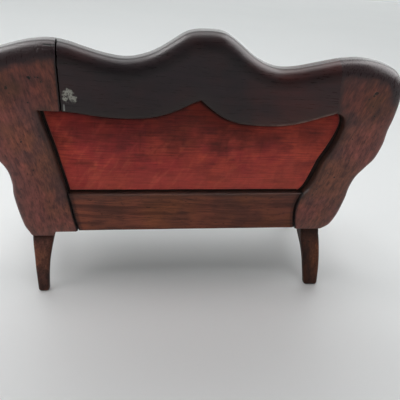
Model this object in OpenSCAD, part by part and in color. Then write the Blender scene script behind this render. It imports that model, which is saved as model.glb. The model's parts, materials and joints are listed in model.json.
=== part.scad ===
// Miniature show-wood settee: a serpentine-backed two-seat sofa for a doll.
// Sawn hardwood frame, dowelled together, with stuffed and covered seat, back and arm pads.
// Front faces -Y, the back leans towards +Y, +X is the sitter's left, the floor is z = 0.
// Sizes are in millimetres.

/* [Overall] */
// Width across the ears of the back
overall_w = 190; // [180:1:200]
// Height of the back along its lean, from the seat rail's lower edge to the crest
back_h = 103.6; // [99:0.2:108]
// Height of the seat rail's lower edge above the floor
leg_h = 33.5; // [31:0.5:36]
// Distance from the rail's back face to the bowed front rail's middle
seat_d = 70; // [67:0.5:73]
// Lean of the back from upright
lean = 10; // [8:0.5:12]

/* [Frame] */
// Thickness of the boards the back is sawn from
frame_t = 9; // [8:0.5:10]
// How far the back seat rail is set in from the face of the stiles
rail_set = 2; // [1.5:0.1:2.2]
// Height of the front and side seat rails
rail_h = 21; // [19:0.5:22]
// Thickness of the side rails
side_rail_t = 7; // [6:0.5:7.5]
// Rise and fall of the front rail's bow
front_bow = 5; // [3:0.5:6]
// Side of the square block at the top of each front leg
leg_block = 11; // [10:0.5:12]
// Diameter of the joining dowels
dowel_d = 3; // [2.5:0.1:3.2]

/* [Upholstery] */
// Width of the rebate that holds the back panel
rebate_w = 3; // [2.5:0.1:3.5]
// Depth of that rebate from the front face
rebate_t = 4; // [3.5:0.1:4.5]
// Thickness of the back board and the seat board
board_t = 1.5; // [1.2:0.1:1.8]
// Height of the seat stuffing over the rails
seat_pad_h = 9; // [7:0.5:10]
// How far the inside back pad stands out of the frame
back_pad_t = 4; // [3:0.5:5]
// Thickness of the covering cloth with its lining
cloth_t = 1; // [0.8:0.1:1.2]
// Thickness of the arm pads
arm_pad_t = 4; // [3:0.5:5]

/* [Hidden] */
$fn = 48;

kx = overall_w / 190;
kv = back_h / 103.6;
big = 400;
// the rail's back face sits at this Y, so that the whole stands centred on the origin
y0 = (seat_d - back_h * sin(lean)) / 2;
rail_z = leg_h + 0.5;
rail_top = rail_z + rail_h;
// height of the seat board's top, flush with the rails
board_z = rail_top - board_t;
board_w = frame_t - rebate_t;

mahogany = [0.33, 0.17, 0.13];
dark_mahogany = [0.17, 0.12, 0.12];
rail_brown = [0.32, 0.18, 0.12];
pale_wood = [0.72, 0.58, 0.40];
red_cloth = [0.47, 0.13, 0.12];
stuffing = [0.85, 0.80, 0.70];
pin_steel = [0.45, 0.44, 0.42];

// ---- curves -----------------------------------------------------------------
function cr(a, b, c, d, t) =
    0.5 * (2 * b + (c - a) * t + (2 * a - 5 * b + 4 * c - d) * t * t
           + (3 * b - a - 3 * c + d) * t * t * t);
// smooth curve through hand-set points, n steps between each pair
function curve(p, n = 4) = concat(
    [for (i = [0 : len(p) - 2], k = [0 : n - 1])
        cr(p[max(i - 1, 0)], p[i], p[i + 1], p[min(i + 2, len(p) - 1)], k / n)],
    [p[len(p) - 1]]);
function rev(p) = [for (i = [len(p) - 1 : -1 : 0]) p[i]];
function flip(p) = [for (q = p) [-q[0], q[1]]];
function sized(p) = [for (q = p) [q[0] * kx, q[1] * kv]];

// outer edge of the back on each side, from the crest's middle over hump and ear to the stile's foot
EDGE_L = curve(sized([[0, 103.6], [7, 102.6], [13, 98.8], [19, 94.7], [25, 91.9], [32.5, 90.3],
    [40, 91.1], [48, 93.1], [55, 95.2], [62, 96.2], [70, 95.2], [78, 92.9], [84, 90.6],
    [89, 86.8], [93, 80.2], [95, 73], [94.2, 67.5], [93, 62], [93.6, 55], [92, 46.8],
    [88.4, 41], [85.9, 35.5], [85.1, 29], [85.4, 22], [84.4, 12], [83.1, 4], [81.8, 0.3],
    [80.4, -3]]));
EDGE_R = curve(sized([[0, 103.6], [7, 103.3], [13, 100.2], [19, 95.8], [25, 92.2], [32.5, 89.8],
    [40, 90], [48, 91.8], [55, 93.6], [62, 95.2], [70, 95.9], [78, 95.1], [84, 93.6],
    [89, 91.2], [93.2, 86], [94.8, 78.5], [94.9, 70], [94.4, 62.5], [94.6, 55], [93, 46.8],
    [89.6, 41], [86.6, 35.5], [85.2, 29], [85.2, 22], [84.2, 12], [82.4, 5], [80.4, 2],
    [77.4, 0]]));
function top_of(edge) = [for (p = edge) if (p[1] > 85 * kv && p[0] < 90 * kx) p];
function top_v(edge, x) = lookup(x, top_of(edge));

// inner edge of each stile: rail joint first, then the side of the cloth opening
IN_L = curve(sized([[57, -0.7], [58.7, 9], [59.7, 16.5], [60.6, 22.2], [61.9, 30], [63.6, 39],
    [65.2, 48], [67, 56], [68.5, 63.5], [69, 67.5]]), 3);
IN_R = curve(sized([[61.5, 0], [60.4, 4], [59.2, 9], [58.6, 14.5], [59, 20], [60.2, 23.8],
    [62.6, 27.6], [64, 32], [65.2, 38], [66.4, 44], [68.2, 49], [69.4, 54], [70.3, 59],
    [70.6, 63.5], [69.8, 67.4], [67.4, 70.2], [64.2, 71.3]]), 3);
// where the rail ends and the opening starts on those edges
open_l = 9;
open_r = 15;
// scalloped lower edge of the crest, from the centre cusp outwards, sawn by eye on each side
LOW_L = curve(sized([[0, 75], [3.6, 73.5], [7, 71.5], [12.5, 68.8], [17.6, 66.9], [24.2, 65.6],
    [31, 65.1], [38, 65.2], [46, 65.9], [53.5, 67], [59.4, 67.5]]), 3);
LOW_R = curve(sized([[0, 75], [4, 71.8], [8, 68.9], [13, 66.2], [19, 64.5], [26, 63.8],
    [33.5, 63.7], [40.5, 64.2], [47.5, 65.6], [54.3, 67.8], [61, 70.2], [64.2, 71.3]]), 3);
// glue lines between crest and stiles
seam_l = 59.4 * kx;
seam_r_low = 64.2 * kx;
seam_r_top = 60 * kx;

// outline of the opening, grown by e all round
function opening(e) = concat(
    [[IN_L[open_l][0] + e, IN_L[open_l][1] - e]],
    [for (i = [open_l + 1 : len(IN_L) - 2]) [IN_L[i][0] + e, IN_L[i][1]]],
    [[IN_L[len(IN_L) - 1][0] + e, IN_L[len(IN_L) - 1][1] + e]],
    [for (p = rev(LOW_L)) [p[0], p[1] + e]],
    [for (i = [1 : len(LOW_R) - 1]) [-LOW_R[i][0], LOW_R[i][1] + e]],
    [for (i = [len(IN_R) - 2 : -1 : open_r + 1])
        [-IN_R[i][0] - e * min(1, (len(IN_R) - 1 - i) / 6), IN_R[i][1] + e * max(0, 1 - (len(IN_R) - 1 - i) / 8)]],
    [[-IN_R[open_r][0] - e, IN_R[open_r][1] - e]]);

// bowed front of the seat frame: distance forward of the back face
function bow(x) = seat_d - front_bow + front_bow * cos(90 * x / (76 * kx));
fx = [for (x = [-75 : 7.5 : 75]) x * kx];

// ---- helpers ----------------------------------------------------------------
// the leaning plane of the back: x across, y up the back, z forwards through its thickness
module in_back() {
    translate([0, y0, leg_h]) rotate([-lean, 0, 0]) rotate([90, 0, 0]) children();
}
module slab(pts, w0, w1) {
    translate([0, 0, w0]) linear_extrude(w1 - w0) polygon(pts);
}
// everything behind the front face of the back boards
module behind_back() {
    in_back() translate([-big / 2, -60, -60]) cube([big, big, 60 + frame_t]);
}
// prisms along each axis; d is the distance forward of the rail's back face
module along_x(pts, x0, x1) {
    translate([x0, 0, 0]) rotate([90, 0, 90]) linear_extrude(x1 - x0)
        polygon([for (p = pts) [y0 - p[0], p[1]]]);
}
module along_y(pts) {
    translate([0, 150, 0]) rotate([90, 0, 0]) linear_extrude(300) polygon(pts);
}
module along_z(pts, z0, z1) {
    translate([0, 0, z0]) linear_extrude(z1 - z0) polygon([for (p = pts) [p[0], y0 - p[1]]]);
}
module handed(s) {
    mirror([s < 0 ? 1 : 0, 0, 0]) children();
}
// dowel along the back's width, in the leaning plane
module cross_dowel(x0, x1, v, w) {
    translate([x0, v, w]) rotate([0, 90, 0]) cylinder(d = dowel_d, h = x1 - x0);
}

// ---- dowels -----------------------------------------------------------------
module crest_dowel_set() {
    in_back() {
        for (v = [74, 87]) cross_dowel(seam_l - 7, seam_l + 7, v * kv, frame_t * 0.36);
        for (v = [76, 88]) cross_dowel(-seam_r_low - 5, -seam_r_low + 9, v * kv, frame_t * 0.36);
    }
}
module back_rail_dowel_set() {
    in_back() for (v = [6, 14]) {
        cross_dowel(52 * kx, 67 * kx, v, 5.5);
        cross_dowel(-67 * kx, -52 * kx, v, 5.5);
    }
}
module side_rail_dowel_set() {
    for (s = [1, -1]) handed(s) {
        in_back() translate([77.5 * kx, 13, frame_t - 4]) cylinder(d = dowel_d, h = 11);
        translate([82 * kx, y0 - seat_d + 20, rail_z + rail_h / 2])
            rotate([90, 0, 0]) cylinder(d = dowel_d, h = 11);
    }
}
module front_rail_dowel_set() {
    for (s = [1, -1]) handed(s) for (z = [5, 16])
        translate([69 * kx, y0 - seat_d + 8.5, rail_z + z])
            rotate([0, 90, 0]) cylinder(d = dowel_d, h = 11);
}
module leg_dowel_set() {
    in_back() {
        translate([75.4 * kx, -8, 3.8]) rotate([-90, 0, 0]) cylinder(d = dowel_d, h = 13);
        translate([-72.4 * kx, -7, 3.8]) rotate([-90, 0, 0]) cylinder(d = dowel_d, h = 13);
    }
}
module arm_dowel_set() {
    for (s = [1, -1]) handed(s) {
        in_back() translate([86 * kx, 54 * kv, frame_t - 4]) cylinder(d = dowel_d, h = 8);
        translate([81.5 * kx, y0 - 45.5, rail_top - 5]) cylinder(d = dowel_d, h = 10);
        translate([86.9 * kx, y0 - 43.5, arm_z - 8]) cylinder(d = dowel_d, h = 9);
    }
}
// pins that hold the back board against its rebate
module pin_set() {
    in_back() for (p = [[-64.9, 30], [63.4, 30], [-30, 21.8], [0, 21.4], [30, 21], [-30, 65.2], [31, 66.6]])
        translate([p[0] * kx, p[1] * kv, board_w - 2]) cylinder(d = 0.8, h = 2 + board_t);
}

// ---- back frame -------------------------------------------------------------
module rebate() {
    in_back() slab(opening(rebate_w), board_w, frame_t + 1);
}
module crest_rail() {
    color(dark_mahogany) difference() {
        in_back() slab(concat(
            [for (p = flip(rev(top_of(EDGE_R)))) if (p[0] > -seam_r_top) p],
            [for (p = top_of(EDGE_L)) if (p[0] > 0 && p[0] < seam_l) p],
            [[seam_l, top_v(EDGE_L, seam_l)]],
            rev(LOW_L),
            [for (i = [1 : len(LOW_R) - 1]) [-LOW_R[i][0], LOW_R[i][1]]],
            [[-seam_r_top, top_v(EDGE_R, seam_r_top)]]), 0, frame_t);
        rebate();
        crest_dowel_set();
        pin_set();
    }
}
module stile_cuts() {
    rebate();
    crest_dowel_set();
    back_rail_dowel_set();
    side_rail_dowel_set();
    leg_dowel_set();
    arm_dowel_set();
    pin_set();
}
module left_back_stile() {
    color(mahogany) difference() {
        in_back() slab(concat(
            [[seam_l, top_v(EDGE_L, seam_l)]],
            [for (p = EDGE_L) if (p[0] > seam_l) p],
            sized([[69, -3], [68, -0.7]]),
            IN_L, [LOW_L[len(LOW_L) - 1]]), 0, frame_t);
        stile_cuts();
    }
}
module right_back_stile() {
    color(mahogany) difference() {
        in_back() slab(flip(concat(
            [[seam_r_top, top_v(EDGE_R, seam_r_top)]],
            [for (p = EDGE_R) if (p[0] > seam_r_top) p],
            IN_R)), 0, frame_t);
        stile_cuts();
    }
}
module back_seat_rail() {
    color(rail_brown) difference() {
        in_back() slab(concat(
            sized([[56.9, -1.5]]),
            [for (i = [0 : open_l]) IN_L[i]],
            [for (i = [open_r : -1 : 0]) [-IN_R[i][0], IN_R[i][1]]],
            sized([[-61.6, -0.5]])), rail_set, frame_t);
        rebate();
        back_rail_dowel_set();
        pin_set();
    }
}

// ---- seat frame -------------------------------------------------------------
// plan of a side rail: outer and inner edges splay towards the front
function side_out(d) = (80 + 5.6 * (d - 9) / (seat_d - 23)) * kx;
module side_rail(s) {
    color(rail_brown) difference() {
        handed(s) along_z([[side_out(0), 0], [side_out(seat_d - 14), seat_d - 14],
                 [side_out(seat_d - 14) - side_rail_t, seat_d - 14], [side_out(0) - side_rail_t, 0]],
                rail_z, rail_top);
        behind_back();
        side_rail_dowel_set();
        arm_dowel_set();
        leg_dowel_set();
    }
}
module front_seat_rail() {
    half = 75.5 * kx;
    color(mahogany) difference() {
        intersection() {
            along_z(concat(
                [[-half, bow(half) - 7.5]], [for (x = fx) [x, bow(x) - 7.5]], [[half, bow(half) - 7.5]],
                [[half, bow(half)]], [for (x = rev(fx)) [x, bow(x)]], [[-half, bow(half)]]),
                rail_z - 2, rail_top);
            along_y(concat(
                [[-half, rail_top], [half, rail_top]],
                curve([[half, rail_z + 3], [66 * kx, rail_z + 0.6], [52 * kx, rail_z + 1.4],
                       [36 * kx, rail_z + 5.4], [18 * kx, rail_z + 3.2], [0, rail_z + 0.4],
                       [-18 * kx, rail_z + 3.2], [-36 * kx, rail_z + 5.4], [-52 * kx, rail_z + 1.4],
                       [-66 * kx, rail_z + 0.6], [-half, rail_z + 3]])));
        }
        front_rail_dowel_set();
    }
}
module corner_blocks() {
    color(pale_wood) for (s = [1, -1]) {
        difference() {
            handed(s) along_z([[side_out(3) - side_rail_t, 3], [side_out(19) - side_rail_t, 19],
                               [62 * kx, 8], [62 * kx, 3]], rail_z + 9, board_z);
            behind_back();
            side_rail_dowel_set();
        }
        handed(s) difference() {
            along_z(concat([for (x = [60, 67.5, 75]) [x * kx, bow(x * kx) - 7.5]],
                       [[75 * kx, seat_d - 24], [72.5 * kx, seat_d - 24]]), rail_z + 9, board_z);
            front_rail_dowel_set();
        }
    }
}

// ---- legs -------------------------------------------------------------------
// a point of the back's boards seen from the side: height v up the back, depth w into it
function bp(v, w) = [w * cos(lean) - v * sin(lean), leg_h + v * cos(lean) + w * sin(lean)];
// sabre back legs: sawn to one curve from the side and to a taper from the back, each a little different
module back_leg(s, top, foot, outer, inner) {
    h = leg_h / 33.5;
    color(dark_mahogany) difference() {
        handed(s) intersection() {
            along_x(concat(
                [bp(top, 2), bp(top, frame_t), bp((rail_z - leg_h - frame_t * sin(lean)) / cos(lean), frame_t)],
                curve([[13, rail_z], [11.6, 30.5 * h], [9, 27 * h], [6, 24 * h], [3.4, 20.5 * h],
                       [1.4 + foot * 0.15, 15 * h], [-1 + foot * 0.4, 8 * h], [-3.4 + foot, 0]]),
                curve([[-7.4 + foot, 0], [-5.2 + foot * 0.7, 8 * h], [-3.2 + foot * 0.4, 15 * h],
                       [-1.4 + foot * 0.25, 21 * h], [0.4 + foot * 0.2, 27 * h]])),
                50 * kx, 100 * kx);
            along_y(concat(
                [for (p = curve(outer)) [p[0] * kx, p[1] * h]],
                [for (p = curve(inner)) [p[0] * kx, p[1] * h]]));
        }
        leg_dowel_set();
    }
}
module left_back_leg() {
    back_leg(1, -3 * kv, 1.4,
        [[80, 38], [79.9, 28], [79.2, 19.5], [78.7, 11], [78, 3], [77.7, 0]],
        [[72.7, 0], [72.5, 10], [72.1, 19], [71.3, 26], [70.6, 30], [69.4, 38]]);
}
module right_back_leg() {
    back_leg(-1, 0, 0,
        [[76.9, 38], [77, 32], [78.4, 21], [79, 12], [79, 5], [78.8, 0]],
        [[70.8, 0], [69.8, 8], [69, 15], [68, 21], [67.2, 28], [66.8, 38]]);
}
// cabriole front leg: the same curve sawn on two faces of one square billet
KNEE = curve([[11, 0.97], [12.2, 0.84], [11.8, 0.68], [9.3, 0.46], [7.6, 0.27], [7.9, 0.13], [9.2, 0.05], [9.5, 0]]);
CALF = curve([[0, 0.97], [2.4, 0.84], [4.3, 0.68], [4.7, 0.46], [4, 0.27], [3.5, 0.13], [3.2, 0.05], [3.3, 0]]);
function cabriole(top) = concat([[0, top], [leg_block, top]],
    [for (p = KNEE) [p[0] * leg_block / 11, p[1] * rail_z]],
    [for (p = rev(CALF)) [p[0] * leg_block / 11, p[1] * rail_z]]);
module front_leg(s) {
    color(mahogany) difference() {
        handed(s) intersection() {
            along_y([for (p = cabriole(rail_top)) [p[0] + 75.5 * kx, p[1]]]);
            along_x([for (p = cabriole(rail_top)) [p[0] + seat_d - 14, p[1]]], 60 * kx, 100 * kx);
        }
        front_rail_dowel_set();
        side_rail_dowel_set();
    }
}

// ---- arms -------------------------------------------------------------------
arm_z = leg_h + 55.5 * kv;
ARM_TOP = curve([[-4, 4.4], [6, 3], [16, 1.4], [28, 0.2], [38, 0.6], [46, 1.9], [51.5, 2.2]]);
ARM_LOW = curve([[46.5, -6.4], [40, -6.6], [28, -6.8], [16, -5.6], [6, -3.6], [-4, -2]]);
function arm_side() = [for (p = concat(ARM_TOP,
    [for (a = [75 : -15 : -105]) [51.5 + 5 * cos(a), -2.8 + 5 * sin(a)]], ARM_LOW)) [p[0], p[1] + arm_z]];
// plan of the arm: middle line and half width at distances forward
ARM_MID = [[-4, 85.6], [6, 86.3], [16, 87.2], [28, 88], [38, 87.8], [46, 86.8], [52, 85.4], [58, 83.6]];
ARM_HALF = [[-4, 3.8], [6, 3.5], [16, 3.3], [28, 3.2], [38, 3.3], [46, 3.8], [52, 4.3], [58, 4.2]];
function arm_plan(e) = concat(
    [for (p = curve([for (i = [0 : 7]) [(ARM_MID[i][1] + ARM_HALF[i][1]) * kx + e, ARM_MID[i][0]]])) p],
    rev([for (p = curve([for (i = [0 : 7]) [(ARM_MID[i][1] - ARM_HALF[i][1]) * kx - e, ARM_MID[i][0]]])) p]));
module arm(s) {
    color(mahogany) difference() {
        handed(s) intersection() {
            along_x(arm_side(), 60 * kx, 110 * kx);
            along_z(arm_plan(0), arm_z - 12, arm_z + 8);
        }
        behind_back();
        arm_dowel_set();
    }
}
module arm_post(s) {
    z0 = rail_top;
    up = arm_z - rail_top;
    color(mahogany) difference() {
        handed(s) intersection() {
            along_x(concat(
                curve([[48.7, z0], [49.1, z0 + up * 0.22], [47.4, z0 + up * 0.5], [45.6, z0 + up * 0.74], [47, z0 + up]]),
                curve([[40, z0 + up], [40.4, z0 + up * 0.74], [42.6, z0 + up * 0.5], [43.9, z0 + up * 0.22], [42.3, z0]])),
                60 * kx, 110 * kx);
            along_y(concat(
                curve([[83.8 * kx, z0], [84.1 * kx, z0 + up * 0.22], [86.2 * kx, z0 + up * 0.5],
                       [88.5 * kx, z0 + up * 0.74], [89.7 * kx, z0 + up]]),
                curve([[84.3 * kx, z0 + up], [83.9 * kx, z0 + up * 0.74], [82 * kx, z0 + up * 0.5],
                       [79.9 * kx, z0 + up * 0.22], [79.2 * kx, z0]])));
        }
        handed(s) along_x(arm_side(), 60 * kx, 110 * kx);
        arm_dowel_set();
    }
}
module arm_pad(s) {
    color(red_cloth) handed(s) intersection() {
        along_x([for (p = concat(
            [for (q = ARM_TOP) if (q[0] > 9 && q[0] < 37) q],
            [for (q = rev(ARM_TOP)) if (q[0] > 9 && q[0] < 37) [q[0], q[1] + arm_pad_t]])) [p[0], p[1] + arm_z]],
            60 * kx, 110 * kx);
        along_z(arm_plan(-0.3), arm_z - 4, arm_z + 12);
    }
}

// ---- back upholstery --------------------------------------------------------
module back_board() {
    color(pale_wood) difference() {
        in_back() slab(opening(rebate_w - 0.2), board_w, board_w + board_t);
        pin_set();
    }
}
module outside_back_panel() {
    color(red_cloth) in_back() slab(opening(-0.4), 1.8, board_w);
}
module inside_back_wadding() {
    color(stuffing) in_back() slab(opening(-0.2), board_w + board_t, frame_t + back_pad_t - cloth_t);
}
module inside_back_cover() {
    color(red_cloth) difference() {
        in_back() {
            slab(opening(rebate_w - 0.6), board_w + board_t, frame_t);
            slab(opening(1), frame_t - 0.2, frame_t + back_pad_t);
        }
        in_back() slab(opening(-0.2), board_w - 1, frame_t + back_pad_t - cloth_t);
    }
}
module back_gimp() {
    color(red_cloth) difference() {
        in_back() slab(opening(rebate_w + 1), frame_t, frame_t + 1.2);
        in_back() slab(opening(1), frame_t - 1, frame_t + 2);
        // the braid stops at the seat
        translate([-big / 2, -big / 2, 0]) cube([big, big, rail_top + 0.3]);
    }
}

// ---- seat upholstery --------------------------------------------------------
// plan of the seat pad, grown by e at the sides and the front
function pad_side(e) = [[(73.6 + e) * kx, 10.5], [(75.2 + e) * kx, seat_d - 34], [(76.4 + e) * kx, seat_d - 15],
    [(76 + 0.9 * e) * kx, seat_d - 10.6 + 0.4 * e], [(74 + 0.6 * e) * kx, seat_d - 7.9 + 0.8 * e]];
function pad_plan(e) = concat(
    curve(pad_side(e), 3),
    [for (x = [70 : -7 : -70]) [x * kx, bow(x * kx) - 2.6 + e]],
    flip(rev(curve(pad_side(e), 3))));
module seat_board() {
    color(pale_wood) along_z(concat(
        [[72.6 * kx, 5.8], [side_out(seat_d - 14.5) - side_rail_t - 0.4, seat_d - 14.5], [75.1 * kx, seat_d - 14.3]],
        [for (x = [75 : -7.5 : -75]) [x * kx, bow(x * kx) - 7.8]],
        [[-75.1 * kx, seat_d - 14.3], [-side_out(seat_d - 14.5) + side_rail_t + 0.4, seat_d - 14.5], [-72.6 * kx, 5.8]]),
        board_z, rail_top);
}
module seat_wadding() {
    color(stuffing) along_z(concat([for (p = pad_plan(-cloth_t)) [p[0], max(p[1], 10.5 + cloth_t)]]),
        rail_top, rail_top + seat_pad_h - cloth_t);
}
module seat_cover() {
    color(red_cloth) difference() {
        along_z(pad_plan(0), rail_top, rail_top + seat_pad_h);
        along_z(concat([for (p = pad_plan(-cloth_t)) [p[0], max(p[1], 10.5 + cloth_t)]]),
            rail_top - 1, rail_top + seat_pad_h - cloth_t);
    }
}
module seat_gimp() {
    color(red_cloth) difference() {
        along_z(pad_plan(1.7), rail_top, rail_top + 1.6);
        along_z(concat(pad_plan(0), [[-73.6 * kx, 5], [73.6 * kx, 5]]), rail_top - 1, rail_top + 3);
    }
}

crest_rail();
left_back_stile();
right_back_stile();
back_seat_rail();
front_seat_rail();
side_rail(1);  // left_side_rail
side_rail(-1);  // right_side_rail
left_back_leg();
right_back_leg();
front_leg(1);  // left_front_leg
front_leg(-1);  // right_front_leg
arm(1);  // left_arm
arm(-1);  // right_arm
arm_post(1);  // left_arm_post
arm_post(-1);  // right_arm_post
corner_blocks();
color(pale_wood) crest_dowel_set();  // crest_dowels
color(pale_wood) back_rail_dowel_set();  // back_rail_dowels
color(pale_wood) side_rail_dowel_set();  // side_rail_dowels
color(pale_wood) front_rail_dowel_set();  // front_rail_dowels
color(pale_wood) leg_dowel_set();  // leg_dowels
color(pale_wood) arm_dowel_set();  // arm_dowels
back_board();
color(pin_steel) pin_set();  // back_board_pins
outside_back_panel();
inside_back_wadding();
inside_back_cover();
back_gimp();
seat_board();
seat_wadding();
seat_cover();
seat_gimp();
arm_pad(1);  // left_arm_pad
arm_pad(-1);  // right_arm_pad
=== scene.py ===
import json
import math
import bpy
import numpy as np
from mathutils import Matrix, Vector, geometry

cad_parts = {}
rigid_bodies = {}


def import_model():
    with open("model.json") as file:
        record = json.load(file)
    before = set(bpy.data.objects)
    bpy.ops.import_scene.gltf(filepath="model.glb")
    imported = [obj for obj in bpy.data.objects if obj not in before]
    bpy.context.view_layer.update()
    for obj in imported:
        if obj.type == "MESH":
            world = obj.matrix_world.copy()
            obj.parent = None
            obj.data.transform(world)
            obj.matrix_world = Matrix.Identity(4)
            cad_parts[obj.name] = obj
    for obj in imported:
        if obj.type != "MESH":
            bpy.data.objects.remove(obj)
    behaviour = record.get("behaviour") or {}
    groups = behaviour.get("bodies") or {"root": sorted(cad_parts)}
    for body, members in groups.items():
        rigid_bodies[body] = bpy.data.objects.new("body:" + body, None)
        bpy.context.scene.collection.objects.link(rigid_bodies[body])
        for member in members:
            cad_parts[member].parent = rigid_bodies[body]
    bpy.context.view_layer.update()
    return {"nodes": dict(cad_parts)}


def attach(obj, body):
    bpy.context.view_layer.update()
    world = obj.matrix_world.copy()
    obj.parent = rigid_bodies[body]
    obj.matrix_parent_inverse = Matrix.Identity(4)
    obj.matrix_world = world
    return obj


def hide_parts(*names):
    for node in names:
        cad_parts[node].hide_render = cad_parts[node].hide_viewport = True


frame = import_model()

# ---------------------------------------------------------------------------
# The settee's frame of reference. Sizes here are millimetres; meshes are metres.
#   back plane: x across, v up the leaning back, w forward through its thickness
#   seat plane: d is the distance forward of the stiles' back face
LEAN = math.radians(10)
LEG_H, SEAT_D, BACK_H, FRAME_T, RAIL_SET = 33.5, 70.0, 103.6, 9.0, 2.0
RAIL_Z, RAIL_TOP, SEAT_PAD, BACK_PAD, ARM_PAD = 34.0, 55.0, 9.0, 4.0, 4.0
Y0 = (SEAT_D - BACK_H * math.sin(LEAN)) / 2
ARM_Z = LEG_H + 55.5
SL, CL = math.sin(LEAN), math.cos(LEAN)


def in_back(x, v, w):
    return np.c_[x, Y0 + v * SL - w * CL, LEG_H + v * CL + w * SL] / 1000


def in_seat(x, d, z):
    return np.c_[x, Y0 - d, z + 0 * x] / 1000


# ---------------------------------------------------------------------------
# curves
def cr(P, n=10):
    P = np.array(P, float)
    out, t = [], np.linspace(0, 1, n, endpoint=False)[:, None]
    for i in range(len(P) - 1):
        a, b, c, d = P[max(i - 1, 0)], P[i], P[i + 1], P[min(i + 2, len(P) - 1)]
        out.append(0.5 * (2 * b + (c - a) * t + (2 * a - 5 * b + 4 * c - d) * t * t + (3 * b - a - 3 * c + d) * t ** 3))
    return np.vstack(out + [P[-1:]])


def even(P, step):
    P = np.asarray(P, float)
    s = np.r_[0, np.cumsum(np.linalg.norm(np.diff(P, axis=0), axis=1))]
    t = np.linspace(0, s[-1], max(1, int(round(s[-1] / step))) + 1)
    return np.stack([np.interp(t, s, P[:, k]) for k in range(P.shape[1])], 1)


def ease(P, width):
    """The same curve with its small corners eased off; both ends stay."""
    P = even(P, 0.5)
    k = np.exp(-0.5 * (np.arange(-12, 13) * 0.5 / width) ** 2)
    k /= k.sum()
    Q = np.vstack([2 * P[0] - P[12:0:-1], P, 2 * P[-1] - P[-2:-14:-1]])
    return np.stack([np.convolve(Q[:, i], k, "valid") for i in range(2)], 1)


def flip(P):
    return np.asarray(P, float) * [-1, 1]


def clip_x(P, x):
    """The first part of a curve, up to the given x."""
    k = int(np.argmax(P[:, 0] > x))
    t = (x - P[k - 1, 0]) / (P[k, 0] - P[k - 1, 0])
    return np.vstack([P[:k], P[k - 1] + t * (P[k] - P[k - 1])]), np.vstack([P[k - 1] + t * (P[k] - P[k - 1]), P[k:]])


def gradient_noise(q):
    cell = np.floor(q).astype(np.int64)
    f = q - cell
    u = f ** 3 * (f * (f * 6 - 15) + 10)
    out = np.zeros(len(q))
    for corner in np.ndindex(2, 2, 2):
        c = cell + corner
        h = (c[:, 0] * 73856093) ^ (c[:, 1] * 19349663) ^ (c[:, 2] * 83492791)
        h = ((h ^ (h >> 13)) * 1274126177) & 0x7fffffff
        a, b = (h & 1023) / 1023 * 2 * np.pi, ((h >> 10) & 1023) / 511.5 - 1
        r = np.sqrt(np.maximum(1 - b * b, 0))
        d = f - corner
        w = np.prod(np.where(corner, u, 1 - u), axis=1)
        out += w * (r * np.cos(a) * d[:, 0] + r * np.sin(a) * d[:, 1] + b * d[:, 2])
    return 1.5 * out


def smooth_noise(P, scale, seed, octaves=2):
    """Noise at points in mm, about -1 to 1."""
    P = np.asarray(P, float)
    q = np.c_[P[:, 0] / scale + seed * 7.3, P[:, 1] / scale - seed * 3.1, (P[:, 2] / scale if P.shape[1] > 2 else 0 * P[:, 0]) + seed * 1.7]
    return sum(gradient_noise(q * 2 ** k) / 2 ** k for k in range(octaves))


EDGE_L = cr([(0, 103.6), (7, 102.6), (13, 98.8), (19, 94.7), (25, 91.9), (32.5, 90.3),
             (40, 91.1), (48, 93.1), (55, 95.2), (62, 96.2), (70, 95.2), (78, 92.9), (84, 90.6), (89, 86.8), (93, 80.2),
             (95, 73), (94.2, 67.5), (93, 62), (93.6, 55), (92, 46.8), (88.4, 41), (85.9, 35.5), (85.1, 29), (85.4, 22),
             (84.4, 12), (83.1, 4), (81.8, 0.3), (80.4, -3)])
EDGE_R = cr([(0, 103.6), (7, 103.3), (13, 100.2), (19, 95.8), (25, 92.2), (32.5, 89.8),
             (40, 90), (48, 91.8), (55, 93.6), (62, 95.2), (70, 95.9), (78, 95.1), (84, 93.6), (89, 91.2), (93.2, 86),
             (94.8, 78.5), (94.9, 70), (94.4, 62.5), (94.6, 55), (93, 46.8), (89.6, 41), (86.6, 35.5), (85.2, 29), (85.2, 22),
             (84.2, 12), (82.4, 5), (80.4, 2), (77.4, 0)])
IN_L = cr([(57, -0.7), (58.7, 9), (59.7, 16.5), (60.6, 22.2), (61.9, 30), (63.6, 39), (65.2, 48), (67, 56),
           (68.5, 63.5), (69, 67.5)], 9)
IN_R = cr([(61.5, 0), (60.4, 4), (59.2, 9), (58.6, 14.5), (59, 20), (60.2, 23.8), (62.6, 27.6), (64, 32),
           (65.2, 38), (66.4, 44), (68.2, 49), (69.4, 54), (70.3, 59), (70.6, 63.5), (69.8, 67.4), (67.4, 70.2),
           (64.2, 71.3)], 9)
OPEN_L, OPEN_R = 27, 45
LOW_L = cr([(0, 75), (3.6, 73.5), (7, 71.5), (12.5, 68.8), (17.6, 66.9), (24.2, 65.6), (31, 65.1), (38, 65.2),
            (46, 65.9), (53.5, 67), (59.4, 67.5)])
LOW_R = cr([(0, 75), (4, 71.8), (8, 68.9), (13, 66.2), (19, 64.5), (26, 63.8), (33.5, 63.7), (40.5, 64.2),
            (47.5, 65.6), (54.3, 67.8), (61, 70.2), (64.2, 71.3)])
SEAM_L, SEAM_R_LOW, SEAM_R_TOP = 59.4, 64.2, 60.0


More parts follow.
